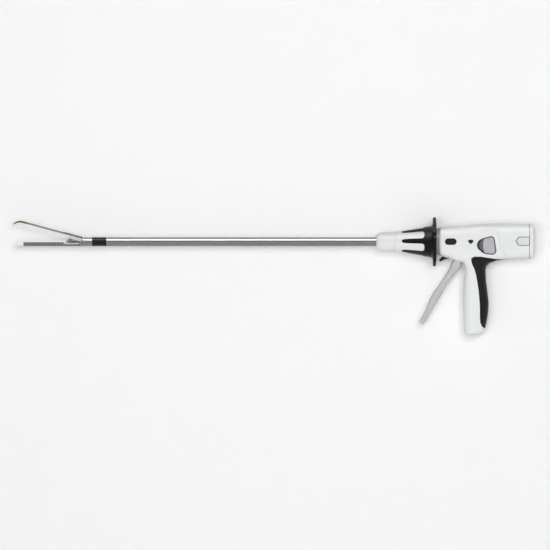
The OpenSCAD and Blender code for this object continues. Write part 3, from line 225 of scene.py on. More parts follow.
class Effects:
    """Surface effects that several finishes share, each built once as a node group."""

    @staticmethod
    def open_group(name: str, inputs: Values, outputs: dict[str, str]) -> tuple[Sheet, Any, Any]:
        """Start a node group whose first input is the place on the piece.

        Args:
            name: Name of the group.
            inputs: Default of each further input: a number, a vector or a colour.
            outputs: Socket type of each output.

        Returns:
            The sheet to draw on, the sockets that the group is given and those that it fills.
        """
        tree = bpy.data.node_groups.new(name, "ShaderNodeTree")
        tree.interface.new_socket("Vector", in_out="INPUT", socket_type="NodeSocketVector")
        kinds = {1: "NodeSocketFloat", 3: "NodeSocketVector", 4: "NodeSocketColor"}
        for label, default in inputs.items():
            kind = kinds[len(default) if isinstance(default, tuple) else 1]
            socket = tree.interface.new_socket(label, in_out="INPUT", socket_type=kind)
            socket.default_value = default
        for label, kind in outputs.items():
            tree.interface.new_socket(label, in_out="OUTPUT", socket_type=kind)
        sheet = Sheet(tree)
        return sheet, sheet.add("NodeGroupInput").outputs, sheet.add("NodeGroupOutput").inputs

    @cached_property
    def moulded_grain(self) -> Tree:
        """The fine spark-eroded grain of moulded plastic, as a height."""
        noise_share, detail = 0.6, 3.0
        sheet, given, out = self.open_group(
            "moulded_grain", {"Cell": 1500.0}, {"Height": "NodeSocketFloat"}
        )
        place, cell = given["Vector"], given["Cell"]
        scale = sheet.maths("MULTIPLY", cell, noise_share)
        fine = sheet.noise(place, scale, detail)
        pits = sheet.add(
            "ShaderNodeTexVoronoi", {"Vector": place, "Scale": cell}, feature="SMOOTH_F1"
        )
        sheet.join(sheet.maths("ADD", fine, pits.outputs["Distance"]), out["Height"])
        return sheet.tree

    @cached_property
    def tone_drift(self) -> Tree:
        """The slow drift between two close tones over a piece, as a colour."""
        detail, low, high = 4.0, 0.35, 0.65
        sheet, given, out = self.open_group(
            "tone_drift",
            {"Scale": 25.0, "Light tone": (1.0, 1.0, 1.0, 1.0), "Dark tone": (0.9, 0.9, 0.9, 1.0)},
            {"Colour": "NodeSocketColor"},
        )
        share = sheet.spread(sheet.noise(given["Vector"], given["Scale"], detail), low, high)
        sheet.join(sheet.mix(share, given["Light tone"], given["Dark tone"]), out["Colour"])
        return sheet.tree

    @cached_property
    def handling(self) -> Tree:
        """The patchy sheen that handling leaves, as a roughness."""
        detail, noise_rough, middle = 5.0, 0.65, 0.5
        sheet, given, out = self.open_group(
            "handling",
            {"Scale": 60.0, "Mean": 0.4, "Spread": 0.08},
            {"Roughness": "NodeSocketFloat"},
        )
        patch = sheet.noise(given["Vector"], given["Scale"], detail, noise_rough)
        centred = sheet.maths("SUBTRACT", patch, middle)
        doubled = sheet.maths("MULTIPLY", centred, 2.0)
        swing = sheet.maths("MULTIPLY", doubled, given["Spread"])
        sheet.join(sheet.maths("ADD", swing, given["Mean"]), out["Roughness"])
        return sheet.tree

    @cached_property
    def drawn_lines(self) -> Tree:
        """The fine lines of drawn, turned or brushed metal, as a height and a mask."""
        detail, noise_rough, low, high = 4.0, 0.7, 0.42, 0.62
        sheet, given, out = self.open_group(
            "drawn_lines",
            {"Stretch": Axis.X.value, "Scale": 90.0},
            {"Height": "NodeSocketFloat", "Mask": "NodeSocketFloat"},
        )
        pull = sheet.add(
            "ShaderNodeVectorMath", {0: given["Vector"], 1: given["Stretch"]},
            operation="MULTIPLY",
        )
        lines = sheet.noise(pull.outputs[0], given["Scale"], detail, noise_rough)
        sheet.join(lines, out["Height"])
        sheet.join(sheet.spread(lines, low, high), out["Mask"])
        return sheet.tree


EFFECTS = Effects()


@dataclass(frozen=True)
class Mark:
    """A field of print or of painted light or shade between two straight lines, in millimetres of X
    and Z.
    """

    start: float
    end: float
    low: tuple[float, float]
    high: tuple[float, float]
    ink_and_painted_light: Colour

    def mask(self, sheet: Sheet, x: Socket, z: Socket) -> Socket:
        """Return one inside the field and nought outside.

        Args:
            sheet: Sheet of the material.
            x: The object's X in millimetres.
            z: The object's Z in millimetres.

        Returns:
            The mask.
        """
        inside = sheet.maths(
            "MULTIPLY", sheet.maths("GREATER_THAN", x, self.start),
            sheet.maths("LESS_THAN", x, self.end),
        )
        run = sheet.maths("DIVIDE", sheet.maths("SUBTRACT", x, self.start), self.end - self.start)
        for (first, last), side in ((self.low, "GREATER_THAN"), (self.high, "LESS_THAN")):
            line = sheet.maths("ADD", sheet.maths("MULTIPLY", run, last - first), first)
            inside = sheet.maths("MULTIPLY", inside, sheet.maths(side, z, line))
        return inside


@dataclass(frozen=True)
class Finish:
    """What every finish has: a name, a colour and the record's slot that it stands for."""

    name: str
    colour: Colour
    slot: str
    BUMP_STRENGTH: ClassVar[float] = 0.6

    def open(self) -> tuple[Sheet, Node, Socket, bpy.types.Material]:
        """Start the material.

        Returns:
            The sheet, the main shader, the object coordinates and the material.
        """
        material = bpy.data.materials.new(self.name)
        material.use_nodes = True
        sheet = Sheet(material.node_tree)
        main = sheet.tree.nodes["Principled BSDF"]
        return sheet, main, sheet.add("ShaderNodeTexCoord").outputs["Object"], material

    def effect(self, sheet: Sheet, tree: Tree, place: Socket, **values: Any) -> Node:
        """Place a shared effect in this material.

        Args:
            sheet: Sheet of the material.
            tree: Group of the effect.
            place: Object coordinates.
            **values: Values of the group's inputs, with low lines for spaces.

        Returns:
            The group's node.
        """
        node = sheet.add("ShaderNodeGroup", node_tree=tree, label=self.name)
        for key, value in {"Vector": place, **values}.items():
            sheet.join(value, node.inputs[key.replace("_", " ")])
        return node

    def held(self, sheet: Sheet, place: Socket, scale: float, mean: float, spread: float) -> Socket:
        """Return the roughness that handling has left.

        Args:
            sheet: Sheet of the material.
            place: Object coordinates.
            scale: How close the patches lie.
            mean: Mean roughness.
            spread: Most that a patch differs from it.

        Returns:
            The roughness.
        """
        node = self.effect(
            sheet, EFFECTS.handling, place, Scale=scale, Mean=mean, Spread=spread
        )
        return node.outputs["Roughness"]

    def relief(self, sheet: Sheet, main: Node, height: Socket, depth: float) -> None:
        """Feed a height through a Bump node into the main shader's normal.

        Args:
            sheet: Sheet of the material.
            main: The main shader.
            height: Height from 0 to 1.
            depth: Depth of the relief in metres.
        """
        values = {"Strength": self.BUMP_STRENGTH, "Distance": depth, "Height": height}
        bump = sheet.add("ShaderNodeBump", values)
        sheet.join(bump.outputs["Normal"], main.inputs["Normal"])

    def millimetres(self, sheet: Sheet, place: Socket) -> tuple[Socket, Socket]:
        """Return the object's X and Z in millimetres."""
        split = sheet.add("ShaderNodeSeparateXYZ", {0: place})
        x = sheet.maths("MULTIPLY", split.outputs["X"], MM_PER_METRE)
        return x, sheet.maths("MULTIPLY", split.outputs["Z"], MM_PER_METRE)

    def marked(
        self, sheet: Sheet, tone: Socket, place: Socket, marks: Sequence[Mark]
    ) -> tuple[Socket, Optional[Socket]]:
        """Lay several marks over a tone.

        Args:
            sheet: Sheet of the material.
            tone: Colour below.
            place: Object coordinates.
            marks: The marks, the last on top.

        Returns:
            The colour, and a mask of all marks where there are any.
        """
        if not marks:
            return tone, None
        x, z = self.millimetres(sheet, place)
        every: Optional[Socket] = None
        for mark in marks:
            mask = mark.mask(sheet, x, z)
            tone = sheet.mix(mask, tone, rgba(mark.ink_and_painted_light))
            every = mask if every is None else sheet.maths("MAXIMUM", every, mask)
        return tone, every

    def make(self) -> bpy.types.Material:
        """Build the material. Each kind of finish has its own way."""
        raise NotImplementedError


@dataclass(frozen=True)
class Moulded(Finish):
    """Injection-moulded plastic with a spark-eroded grain."""

    sheen: Sheen = Sheen.SATIN
    grain: float = 1400.0
    depth: float = 0.00004
    drift: float = 0.93
    coat: float = 0.0
    mirror: float = 0.5
    marks: tuple[Mark, ...] = ()
    DRIFT_SCALE: ClassVar[float] = 22.0
    PATCH_SCALE: ClassVar[float] = 70.0
    COAT_ROUGHNESS: ClassVar[float] = 0.12

    def make(self) -> bpy.types.Material:
        """Build the material.

        Returns:
            The material.
        """
        sheet, main, place, material = self.open()
        tone = self.effect(
            sheet, EFFECTS.tone_drift, place, Scale=self.DRIFT_SCALE,
            Light_tone=rgba(self.colour), Dark_tone=rgba(shade(self.colour, self.drift)),
        )
        grain = self.effect(sheet, EFFECTS.moulded_grain, place, Cell=self.grain)
        look, _ = self.marked(sheet, tone.outputs["Colour"], place, self.marks)
        sheet.join(self.crescent_shaded(sheet, look, place), main.inputs["Base Color"])
        rough = self.held(sheet, place, self.PATCH_SCALE, *self.sheen.value)
        sheet.join(rough, main.inputs["Roughness"])
        self.relief(sheet, main, grain.outputs["Height"], self.depth)
        main.inputs["Specular IOR Level"].default_value = self.mirror
        main.inputs["Coat Weight"].default_value = self.coat
        main.inputs["Coat Roughness"].default_value = self.COAT_ROUGHNESS
        return material

    def crescent_shaded(self, sheet: Sheet, tone: Socket, place: Socket) -> Socket:
        """Return the tone with painted shade on a curved side. Plain plastic has none."""
        return tone


@dataclass(frozen=True)
class Thumb(Moulded):
    """Plastic of the thumb button, whose front side has a darker crescent of painted shade."""

    crescent_x: float = 146.9
    crescent_z: float = -4.8
    bend: float = 0.02
    # Colour of the painted shade on the button's front side.
    crescent_shade: Colour = (0.12, 0.12, 0.125)

    def crescent_shaded(self, sheet: Sheet, tone: Socket, place: Socket) -> Socket:
        """Return the tone with the crescent of painted shade.

        Args:
            sheet: Sheet of the material.
            tone: Colour below.
            place: Object coordinates.

        Returns:
            The colour with the crescent.
        """
        x, z = self.millimetres(sheet, place)
        rise = sheet.maths("SUBTRACT", z, self.crescent_z)
        bent = sheet.maths("MULTIPLY", sheet.maths("MULTIPLY", rise, rise), self.bend)
        edge = sheet.maths("ADD", bent, self.crescent_x)
        # Painted shade: points in front of the curved line take the darker colour.
        return sheet.mix(sheet.maths("LESS_THAN", x, edge), tone, rgba(self.crescent_shade))


@dataclass(frozen=True)
class SoftTouch(Moulded):
    """Soft overmoulding with a leathery grain that hands polish in patches."""

    sheen: Sheen = Sheen.HANDLED
    grain: float = 620.0
    depth: float = 0.00012
    drift: float = 0.7
    mirror: float = 0.3
    DRIFT_SCALE: ClassVar[float] = 35.0
    PATCH_SCALE: ClassVar[float] = 55.0


@dataclass(frozen=True)
class Metal(Finish):
    """Drawn, turned or brushed metal with fine lines along one direction."""

    along: Axis = Axis.X
    sheen: Sheen = Sheen.SOFT_GLOSS
    line_scale: float = 90.0
    depth: float = 0.00002
    metallic: float = 1.0
    # Share of the colour kept at the rims, which are darkened there as painted shade.
    edge: float = 0.15
    marks: tuple[Mark, ...] = ()
    BRIGHT: ClassVar[float] = 1.06
    DULL: ClassVar[float] = 0.86
    RIM_BLEND: ClassVar[float] = 0.5
    RIM_POWER: ClassVar[float] = 1.4
    PATCH_SCALE: ClassVar[float] = 45.0
    LINE_ROUGHNESS: ClassVar[float] = 0.08

    def make(self) -> bpy.types.Material:
        """Build the material.

        Returns:
            The material.
        """
        sheet, main, place, material = self.open()
        lines = self.effect(
            sheet, EFFECTS.drawn_lines, place, Stretch=self.along.value, Scale=self.line_scale
        )
        mask = lines.outputs["Mask"]
        bright, dull = shade(self.colour, self.BRIGHT), shade(self.colour, self.DULL)
        brushed = sheet.mix(mask, rgba(bright), rgba(dull))
        # Painted shade: the colour darkens towards the rims, where the surface turns away from the
        # view, standing in for dark reflections.
        facing = sheet.add("ShaderNodeLayerWeight", {"Blend": self.RIM_BLEND})
        turned = sheet.maths("POWER", facing.outputs["Facing"], self.RIM_POWER)
        rim_shaded = sheet.mix(turned, brushed, rgba(shade(self.colour, self.edge)))
        look, plain = self.marked(sheet, rim_shaded, place, self.marks)
        sheet.join(look, main.inputs["Base Color"])
        rough = self.held(sheet, place, self.PATCH_SCALE, *self.sheen.value)
        swing = sheet.maths("MULTIPLY", mask, self.LINE_ROUGHNESS)
        sheet.join(sheet.maths("ADD", rough, swing), main.inputs["Roughness"])
        self.relief(sheet, main, lines.outputs["Height"], self.depth)
        main.inputs["Metallic"].default_value = self.metallic
        if plain is not None:
            sheet.join(sheet.maths("SUBTRACT", self.metallic, plain), main.inputs["Metallic"])
        return material


@dataclass(frozen=True)
class Board(Finish):
    """Coated circuit board with pads and tracks under the coat."""

    track: Colour = (0.5, 0.36, 0.12)
    cells: float = 420.0
    track_width: float = 0.05
    depth: float = 0.00004

    def make(self) -> bpy.types.Material:
        """Build the material.

        Returns:
            The material.
        """
        sheet, main, place, material = self.open()
        cells = sheet.add(
            "ShaderNodeTexVoronoi", {"Vector": place, "Scale": self.cells},
            feature="DISTANCE_TO_EDGE",
        )
        mask = sheet.maths("LESS_THAN", cells.outputs["Distance"], self.track_width)
        look = sheet.mix(mask, rgba(self.colour), rgba(self.track))
        sheet.join(look, main.inputs["Base Color"])
        rough = self.held(sheet, place, scale=90.0, mean=0.25, spread=0.05)
        sheet.join(rough, main.inputs["Roughness"])
        self.relief(sheet, main, mask, self.depth)
        return material


@dataclass(frozen=True)
class Wrap(Finish):
    """Shrink wrap round a cell, with a pale band at each end of the pattern."""

    band: Colour = (0.6, 0.62, 0.65)
    rings: float = 9.0
    waver: float = 0.4
    band_from: float = 0.93

    def make(self) -> bpy.types.Material:
        """Build the material.

        Returns:
            The material.
        """
        sheet, main, place, material = self.open()
        rings = sheet.add(
            "ShaderNodeTexWave",
            {"Vector": place, "Scale": self.rings, "Distortion": self.waver},
            wave_type="BANDS", bands_direction="Z",
        )
        mask = sheet.maths("GREATER_THAN", rings.outputs[1], self.band_from)
        look = sheet.mix(mask, rgba(self.colour), rgba(self.band))
        sheet.join(look, main.inputs["Base Color"])
        rough = self.held(sheet, place, scale=120.0, mean=0.24, spread=0.06)
        sheet.join(rough, main.inputs["Roughness"])
        return material


def finishes() -> dict[str, Finish]:
    """Return every finish by its name."""
    below, above = (-99.0, -99.0), (99.0, 99.0)
    # The seam tone is painted shade: a dark band on the battery cap's front rim, where its seam to
    # the barrel lies in shade. The field tone is the status window's own dark mark.
    painted_seam_shade, field_ink = (0.04, 0.04, 0.042), (0.012, 0.012, 0.016)
    # The pale grey is a painted highlight on the metal flanks of the anvil and the channel's rear.
    # The dark grey is painted shade along the lower edge of the anvil's flank.
    painted_flank_highlight, painted_edge_shade = from_screen(196, 197, 198), from_screen(60, 60, 62)
    shadow_grey = from_screen(176, 177, 178)
    kinds = [
        Moulded("housing_plastic", from_screen(232, 233, 234), "housing_white",
                grain=1700.0, depth=0.00003, drift=0.965),
        Moulded("knob_plastic", from_screen(229, 230, 231), "housing_white",
                grain=1900.0, depth=0.00003, drift=0.965),
        Moulded("cap_plastic", from_screen(232, 233, 234), "housing_white",
                grain=1500.0, depth=0.00003, drift=0.965,
                # Painted shade along the cap's seam to the barrel.
                marks=(Mark(200.0, 211.35, below, above, painted_seam_shade),)),
        SoftTouch("grip_rubber", from_screen(24, 24, 25), "soft_black"),
        Moulded("rib_plastic", from_screen(12, 12, 13), "soft_black",
                grain=1100.0, depth=0.00005, drift=0.75, mirror=0.22),
        Moulded("collar_plastic", from_screen(140, 141, 143), "collar_grey"),
        Moulded("control_black", from_screen(18, 18, 20), "control_black",
                sheen=Sheen.SOFT_GLOSS, depth=0.00002, drift=0.8, coat=0.15),
        Moulded("trigger_plastic", from_screen(192, 193, 194), "control_grey",
                grain=1500.0, depth=0.00003, drift=0.95),
        Thumb("button_plastic", from_screen(184, 185, 187), "control_grey",
              grain=1800.0, depth=0.00002, drift=0.95),
        Moulded("latch_plastic", from_screen(222, 223, 224), "control_grey",
                depth=0.00003, drift=0.95),
        Moulded("bezel_plastic", from_screen(58, 59, 61), "collar_grey",
                sheen=Sheen.SOFT_GLOSS, depth=0.00002, drift=0.85),
        Moulded("window_plastic", from_screen(222, 223, 224), "window_dark",
                depth=0.00001, drift=0.95,
                marks=(Mark(126.2, 129.9, (0.2, -3.6), (2.1, 2.8), field_ink),
                       Mark(129.9, 133.6, (-3.6, 0.2), (2.8, 2.1), field_ink))),
        Metal("shaft_steel", (0.36, 0.36, 0.37), "steel", line_scale=60.0),
        Metal("sleeve_steel", (0.4, 0.4, 0.41), "steel"),
        Metal("anvil_steel", (0.17, 0.17, 0.175), "steel", sheen=Sheen.SATIN,
              # Painted highlight on the anvil's flank, then painted shade along its lower edge.
              marks=(Mark(-428.0, -407.0, below, (9.6, 3.4), painted_flank_highlight),
                     Mark(-425.0, -408.5, (3.6, -0.8), (4.6, 0.2), painted_edge_shade))),
        Metal("channel_steel", from_screen(146, 147, 149), "dark_steel",
              sheen=Sheen.SATIN, depth=0.00003,
              # Painted highlight on the upper side of the channel's rear.
              marks=(Mark(-431.0, -410.0, (-3.4, -3.4), above, painted_flank_highlight),)),
        Metal("turned_steel", (0.55, 0.55, 0.56), "steel", along=Axis.Y),
        Metal("drive_metal", (0.55, 0.56, 0.58), "inner_metal", sheen=Sheen.SATIN),
        Metal("drive_brass", (0.6, 0.47, 0.22), "inner_brass", sheen=Sheen.SATIN),
        Metal("tip_metal", from_screen(108, 90, 56), "tip_gold", sheen=Sheen.MATT,
              metallic=0.9),
        Moulded("joint_coating", from_screen(22, 22, 24), "joint_black",
                sheen=Sheen.SOFT_GLOSS, grain=2200.0, depth=0.00002, drift=0.75, mirror=0.25),
        Moulded("cartridge_plastic", from_screen(238, 239, 236), "cartridge_white",
                grain=2400.0, depth=0.00002,
                marks=(Mark(-486.9, -431.0, below, (-0.4, -0.4), shadow_grey),)),
        Moulded("pack_plastic", from_screen(66, 66, 68), "battery_dark", sheen=Sheen.MATT),
        Board("board_coating", (0.03, 0.16, 0.08), "board_green"),
        Wrap("cell_wrap", (0.12, 0.25, 0.4), "cell_blue"),
    ]
    return {kind.name: kind for kind in kinds}


def ease(share: float) -> float:
    """Return a share held between nought and one, with soft ends."""
    held = min(1.0, max(0.0, share))
    return held * held * (3.0 - 2.0 * held)


@dataclass(frozen=True)
class Swell:
    """The low swelling of the shells behind and above the thumb button, in metres."""

    edge: float = 0.1678
    lean: float = -0.25
    curl: float = 8.0
    top: float = 0.0145
    corner: float = 0.009
    slope: float = 0.0042
    spread: float = 0.8
    spread_from: float = 0.152
    fade: float = 0.02
    height: float = 0.0025
    foot: float = 0.004
    along: tuple[float, float] = (0.122, 0.198)
    upright: tuple[float, float] = (-0.025, 0.024)
    grid: float = 0.0015
    side_from: float = 0.2
    side_span: float = 0.5

    def rise(self, x: float, z: float) -> float:
        """Return how far the surface stands out at a place.

        Args:
            x: Place along the barrel.
            z: Height of the place.

        Returns:
            The rise in metres.
        """
        across = x - (self.edge + self.lean * z + self.curl * z * z) + self.corner
        above = z - self.top + self.corner
        corner = math.hypot(max(across, 0.0), max(above, 0.0))
        far = corner + min(max(across, above), 0.0) - self.corner
        width = self.slope + self.spread * max(self.spread_from - x, 0.0)
        ends = ease((z - self.upright[0]) / self.foot) * ease((x - self.along[0]) / self.fade)
        return self.height * ease(far / width) * (1.0 - ease((far - width) / self.fade)) * ends

    def cut(self, work: bmesh.types.BMesh, axis: int, span: tuple[float, float]) -> None:
        """Cut the skin inside the swelling's field along one axis.

        Args:
            work: The skin.
            axis: Nought for X and two for Z.
            span: First and last cut.
        """
        count = round((span[1] - span[0]) / self.grid)
        normal = [0.0, 0.0, 0.0]
        normal[axis] = 1.0
        for number in range(count + 1):
            place = [0.0, 0.0, 0.0]
            place[axis] = span[0] + self.grid * number
            faces = [
                face for face in work.faces
                if max(v.co.x for v in face.verts) > self.along[0]
                and min(v.co.x for v in face.verts) < self.along[1]
            ]
            edges = {edge for face in faces for edge in face.edges}
            verts = {vert for face in faces for vert in face.verts}
            bmesh.ops.bisect_plane(
                work, geom=[*verts, *edges, *faces], plane_co=place, plane_no=normal
            )

    def __call__(self, work: bmesh.types.BMesh) -> None:
        """Cut the skin and move its outer points.

        Args:
            work: The skin.
        """
        self.cut(work, 0, self.along)
        self.cut(work, 2, self.upright)
        work.normal_update()
        moves = []
        for vert in work.verts:
            side = math.copysign(1.0, vert.co.y)
            outward = max((face.normal.y * side for face in vert.link_faces), default=0.0)
            share = ease((outward - self.side_from) / self.side_span)
            rise = self.rise(vert.co.x, vert.co.z) * share
            if rise > 0.0 and vert.co.x < self.along[1]:
                moves.append((vert, side * rise))
        for vert, move in moves:
            vert.co.y += move
        LOG.info("swelling: %d points moved", len(moves))


@dataclass
class Workshop:
    """Keeps the built materials and the frame's bodies, and dresses pieces with them."""

    kinds: dict[str, Finish] = field(default_factory=finishes)
    built: dict[str, bpy.types.Material] = field(default_factory=dict)
    bodies: dict[str, str] = field(default_factory=dict)
    MERGE_DISTANCE: ClassVar[float] = 0.000002
    FLAT_DEGREES: ClassVar[float] = 0.4
    SHARP_DEGREES: ClassVar[float] = 34.0

    def __post_init__(self) -> None:
        """Note which body carries each node."""
        for body, nodes in FRAME["record"]["behaviour"]["bodies"].items():
            for node in nodes:
                self.bodies[node] = body

    def material(self, name: str) -> bpy.types.Material:
        """Return a finish's material, which is built the first time."""
        if name not in self.built:
            self.built[name] = self.kinds[name].make()
        return self.built[name]

    def place(self, piece: bpy.types.Object, finish: str, body: str, *nodes: str) -> None:
        """Let a finished piece ride on a body and stand for CAD nodes.

        Args:
            piece: The piece, in its place.
            finish: Name of the finish; not used.
            body: Body that it rides on.
            *nodes: CAD nodes that it replaces.
        """
        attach(piece, body)
        if nodes:
            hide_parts(*nodes)

    def skin(self, node: str, cuts: Sequence[float], shape: Optional[Shaper]) -> bpy.types.Mesh:
        """Make a smooth mesh from a copy of a CAD node's.

        Args:
            node: Name of the CAD node.
            cuts: Places along X where the skin is cut.
            shape: What else is done to the skin's form.

        Returns:
            The mesh.
        """
        work = bmesh.new()
        work.from_mesh(FRAME["nodes"][node].data)
        bmesh.ops.remove_doubles(work, verts=work.verts, dist=self.MERGE_DISTANCE)
        bmesh.ops.dissolve_limit(
            work, angle_limit=math.radians(self.FLAT_DEGREES), verts=work.verts,
            edges=work.edges, delimit=set(),
        )
        for cut in cuts:
            every = [*work.verts, *work.edges, *work.faces]
            bmesh.ops.bisect_plane(work, geom=every, plane_co=(cut, 0, 0), plane_no=(1, 0, 0))
        if shape:
            shape(work)
        limit = math.radians(self.SHARP_DEGREES)
        for face in work.faces:
            face.smooth = True
        for edge in work.edges:
            edge.smooth = len(edge.link_faces) == 2 and edge.calc_face_angle(0.0) < limit
        mesh = bpy.data.meshes.new(f"{node}_skin")
        work.to_mesh(mesh)
        work.free()
        return mesh

    def smooth(
        self, node: str, finish: str, cuts: Sequence[float] = (),
        bodies: Optional[tuple[str, str]] = None, shape: Optional[Shaper] = None,
    ) -> None:
        """Let a smoothly shaded skin, made from a copy of a CAD node, stand for the node.

        Args:
            node: Name of the CAD node.
            finish: Name of the finish.
            cuts: Places along X where the skin is cut.
            bodies: Body names; when given, the skin's place is fixed and it rides on no body.
            shape: What else is done to the skin's form.
        """
        mesh = self.skin(node, cuts, shape)
        piece = bpy.data.objects.new(mesh.name, mesh)
        link(piece)
        mesh.materials.append(self.material(finish))
        if bodies:
            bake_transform(piece)
            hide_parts(node)
            return
        evening = piece.modifiers.new("even_normals", "WEIGHTED_NORMAL")
        evening.keep_sharp = True
        self.place(piece, finish, self.bodies[node], node)


@dataclass
class Repeat:
    """A Geometry Nodes tree that makes what repeats or follows a path."""

    name: str
    sheet: Sheet = field(init=False)
    given: Node = field(init=False)
    values: dict[str, Any] = field(default_factory=dict)
    sockets: dict[str, str] = field(default_factory=dict)

    def __post_init__(self) -> None:
        """Open the tree with its geometry output and its input node."""
        tree = bpy.data.node_groups.new(self.name, "GeometryNodeTree")
        tree.interface.new_socket("Geometry", in_out="OUTPUT", socket_type="NodeSocketGeometry")
        self.sheet = Sheet(tree)
        self.given = self.sheet.add("NodeGroupInput")

    def size(self, label: str, value: float) -> Socket:
        """Add a named input of the tree.

        Args:
            label: Name of the input.
            value: Its value; a whole number makes a whole-number socket.

        Returns:
            The input's socket inside the tree.
        """
        kind = "NodeSocketInt" if isinstance(value, int) else "NodeSocketFloat"
        socket = self.sheet.tree.interface.new_socket(label, in_out="INPUT", socket_type=kind)
        self.values[label] = value
        self.sockets[label] = socket.identifier
        return self.given.outputs[label]

    def vector(self, x: Any = 0.0, y: Any = 0.0, z: Any = 0.0) -> Socket:
        """Combine three numbers or sockets into a vector."""
        return self.sheet.add("ShaderNodeCombineXYZ", {0: x, 1: y, 2: z}).outputs[0]

    def gather(self, parts: Iterable[Socket]) -> Socket:
        """Join several geometries into one."""
        node = self.sheet.add("GeometryNodeJoinGeometry")
        for part in parts:
            self.sheet.join(part, node.inputs[0])
        return node.outputs[0]

    def wire(self, path: Socket, radius: Socket, sides: int) -> Socket:
        """Run a round wire along a path.

        Args:
            path: The wire's middle line.
            radius: The wire's radius.
            sides: How many sides the wire has.

        Returns:
            The wire.
        """
        ring = self.sheet.add(
            "GeometryNodeCurvePrimitiveCircle", {"Resolution": sides, "Radius": radius}
        )
        sweep = self.sheet.add(
            "GeometryNodeCurveToMesh",
            {"Curve": path, "Profile Curve": ring.outputs[0], "Fill Caps": True},
        )
        return sweep.outputs[0]

    def finish(
        self, geometry: Socket, material: bpy.types.Material, piece: str
    ) -> bpy.types.Object:
        """Close the tree and turn its result into a plain mesh.

        Args:
            geometry: What the tree has made.
            material: Material of the result.
            piece: Name of the new object.

        Returns:
            The object with its plain mesh and no modifier.
        """
        add = self.sheet.add
        real = add("GeometryNodeRealizeInstances", {0: geometry})
        flat = add("GeometryNodeSetShadeSmooth", {0: real.outputs[0], "Shade Smooth": False})
        paint = add("GeometryNodeSetMaterial", {0: flat.outputs[0], "Material": material})
        add("NodeGroupOutput", {0: paint.outputs[0]})
        holder = bpy.data.objects.new(f"{piece}_holder", bpy.data.meshes.new(f"{piece}_holder"))
        link(holder)
        modifier = holder.modifiers.new(self.name, "NODES")
        modifier.node_group = self.sheet.tree
        for label, value in self.values.items():
            modifier[self.sockets[label]] = value
        seen = holder.evaluated_get(bpy.context.evaluated_depsgraph_get())
        mesh = bpy.data.meshes.new_from_object(seen)
        mesh.name = piece
        bpy.data.objects.remove(holder)
        made = bpy.data.objects.new(piece, mesh)
        link(made)
        if not mesh.materials:
            mesh.materials.append(material)
        LOG.info("%s: %d faces from the tree %s", piece, len(mesh.polygons), self.name)
        return made


@dataclass
class Assembly:
    """A sub-assembly whose pieces are dressed one after another."""

    shop: Workshop
    PIECES: ClassVar[dict[str, str]] = {}

    def build(self) -> None:
        """Dress each piece in its finish. A sub-assembly with more to make adds to this."""
        for node, finish in self.PIECES.items():
            self.shop.smooth(node, finish)
            LOG.info("%s: %s in %s", type(self).__name__, node, finish)


@dataclass
class Handle(Assembly):
    """The two shells of the handle with their soft back, collar, screws and window."""

    PIECES: ClassVar[dict[str, str]] = {
        "grip_overmould": "grip_rubber",
        "front_collar": "collar_plastic",
        "status_window": "window_plastic",
        "release_bezel_left": "bezel_plastic",
        "release_bezel_right": "bezel_plastic",
        "trigger_pin": "turned_steel",
        "fire_pin": "turned_steel",
        "housing_screws": "turned_steel",
    }

    def build(self) -> None:
        """Swell and dress the shells, and dress the rest."""
        for node in ("housing_left", "housing_right"):
            self.shop.smooth(node, "housing_plastic", shape=Swell())
        super().build()


@dataclass
class Controls(Assembly):
    """Triggers, rockers, release buttons and latches."""

    PIECES: ClassVar[dict[str, str]] = {
        "closing_trigger": "trigger_plastic",
        "trigger_drive_pin": "turned_steel",
        "fire_lever": "control_black",
        "rocker_left": "control_black",
        "rocker_right": "control_black",
        "release_button_left": "button_plastic",
        "release_button_right": "button_plastic",
        "battery_latch_left": "latch_plastic",
        "battery_latch_right": "latch_plastic",
    }


@dataclass
class Drive(Assembly):
    """Motor, gearbox, lead screw, firing rod, yoke and the coil that returns the yoke."""

    radius: float = 0.0007
    turns: int = 4
    steps: int = 40
    sides: int = 10
    travel: float = 0.0050076
    PIECES: ClassVar[dict[str, str]] = {
        "motor": "drive_metal",
        "gearbox": "drive_metal",
        "gearbox_mount": "pack_plastic",
        "closure_yoke": "drive_metal",
        "lead_screw": "turned_steel",
        "firing_rod": "shaft_steel",
        "drive_nut": "drive_brass",
        "circuit_board": "board_coating",
        "battery_contacts": "drive_brass",
    }

    def coil(self) -> None:
        """Wind the return spring between the bulkhead and the yoke's flange."""
        low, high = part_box("closure_spring")
        size = high.x - low.x
        tree = Repeat("return_coil")
        wire = tree.size("Wire radius", self.radius)
        radius = tree.size("Coil radius", (high.z - low.z) / 2 - self.radius)
        length = tree.size("Length", size - 2 * self.radius)
        start = tree.size("Start", low.x + self.radius)
        turns = tree.size("Turns", float(self.turns))
        spiral = tree.sheet.add(
            "GeometryNodeCurveSpiral",
            {"Resolution": self.steps, "Rotations": turns, "Start Radius": radius,
             "End Radius": radius, "Height": length},
        )
        lie = tree.sheet.add(
            "GeometryNodeTransform",
            {"Geometry": spiral.outputs[0], "Rotation": (0.0, math.pi / 2, 0.0),
             "Translation": tree.vector(start)},
        )
        steel = self.shop.material("turned_steel")
        coil = tree.finish(tree.wire(lie.outputs[0], wire, self.sides), steel, "return_coil")
        self.shop.place(coil, "turned_steel", "handle", "closure_spring")
        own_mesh(coil)

    def build(self) -> None:
        """Dress the drive and wind its coil."""
        super().build()
        self.coil()


@dataclass
class BatteryPack(Assembly):
    """The battery's case, its cap and its cells."""

    PIECES: ClassVar[dict[str, str]] = {
        "battery_case": "pack_plastic",
        "battery_cap": "cap_plastic",
        "battery_cells": "cell_wrap",
    }


@dataclass
class Knob(Assembly):
    """The rotation knob, its black ribs and flange, and the nose in front of it."""

    PIECES: ClassVar[dict[str, str]] = {
        "nose_cone": "knob_plastic",
        "knob_body": "knob_plastic",
        "knob_grip": "rib_plastic",
    }


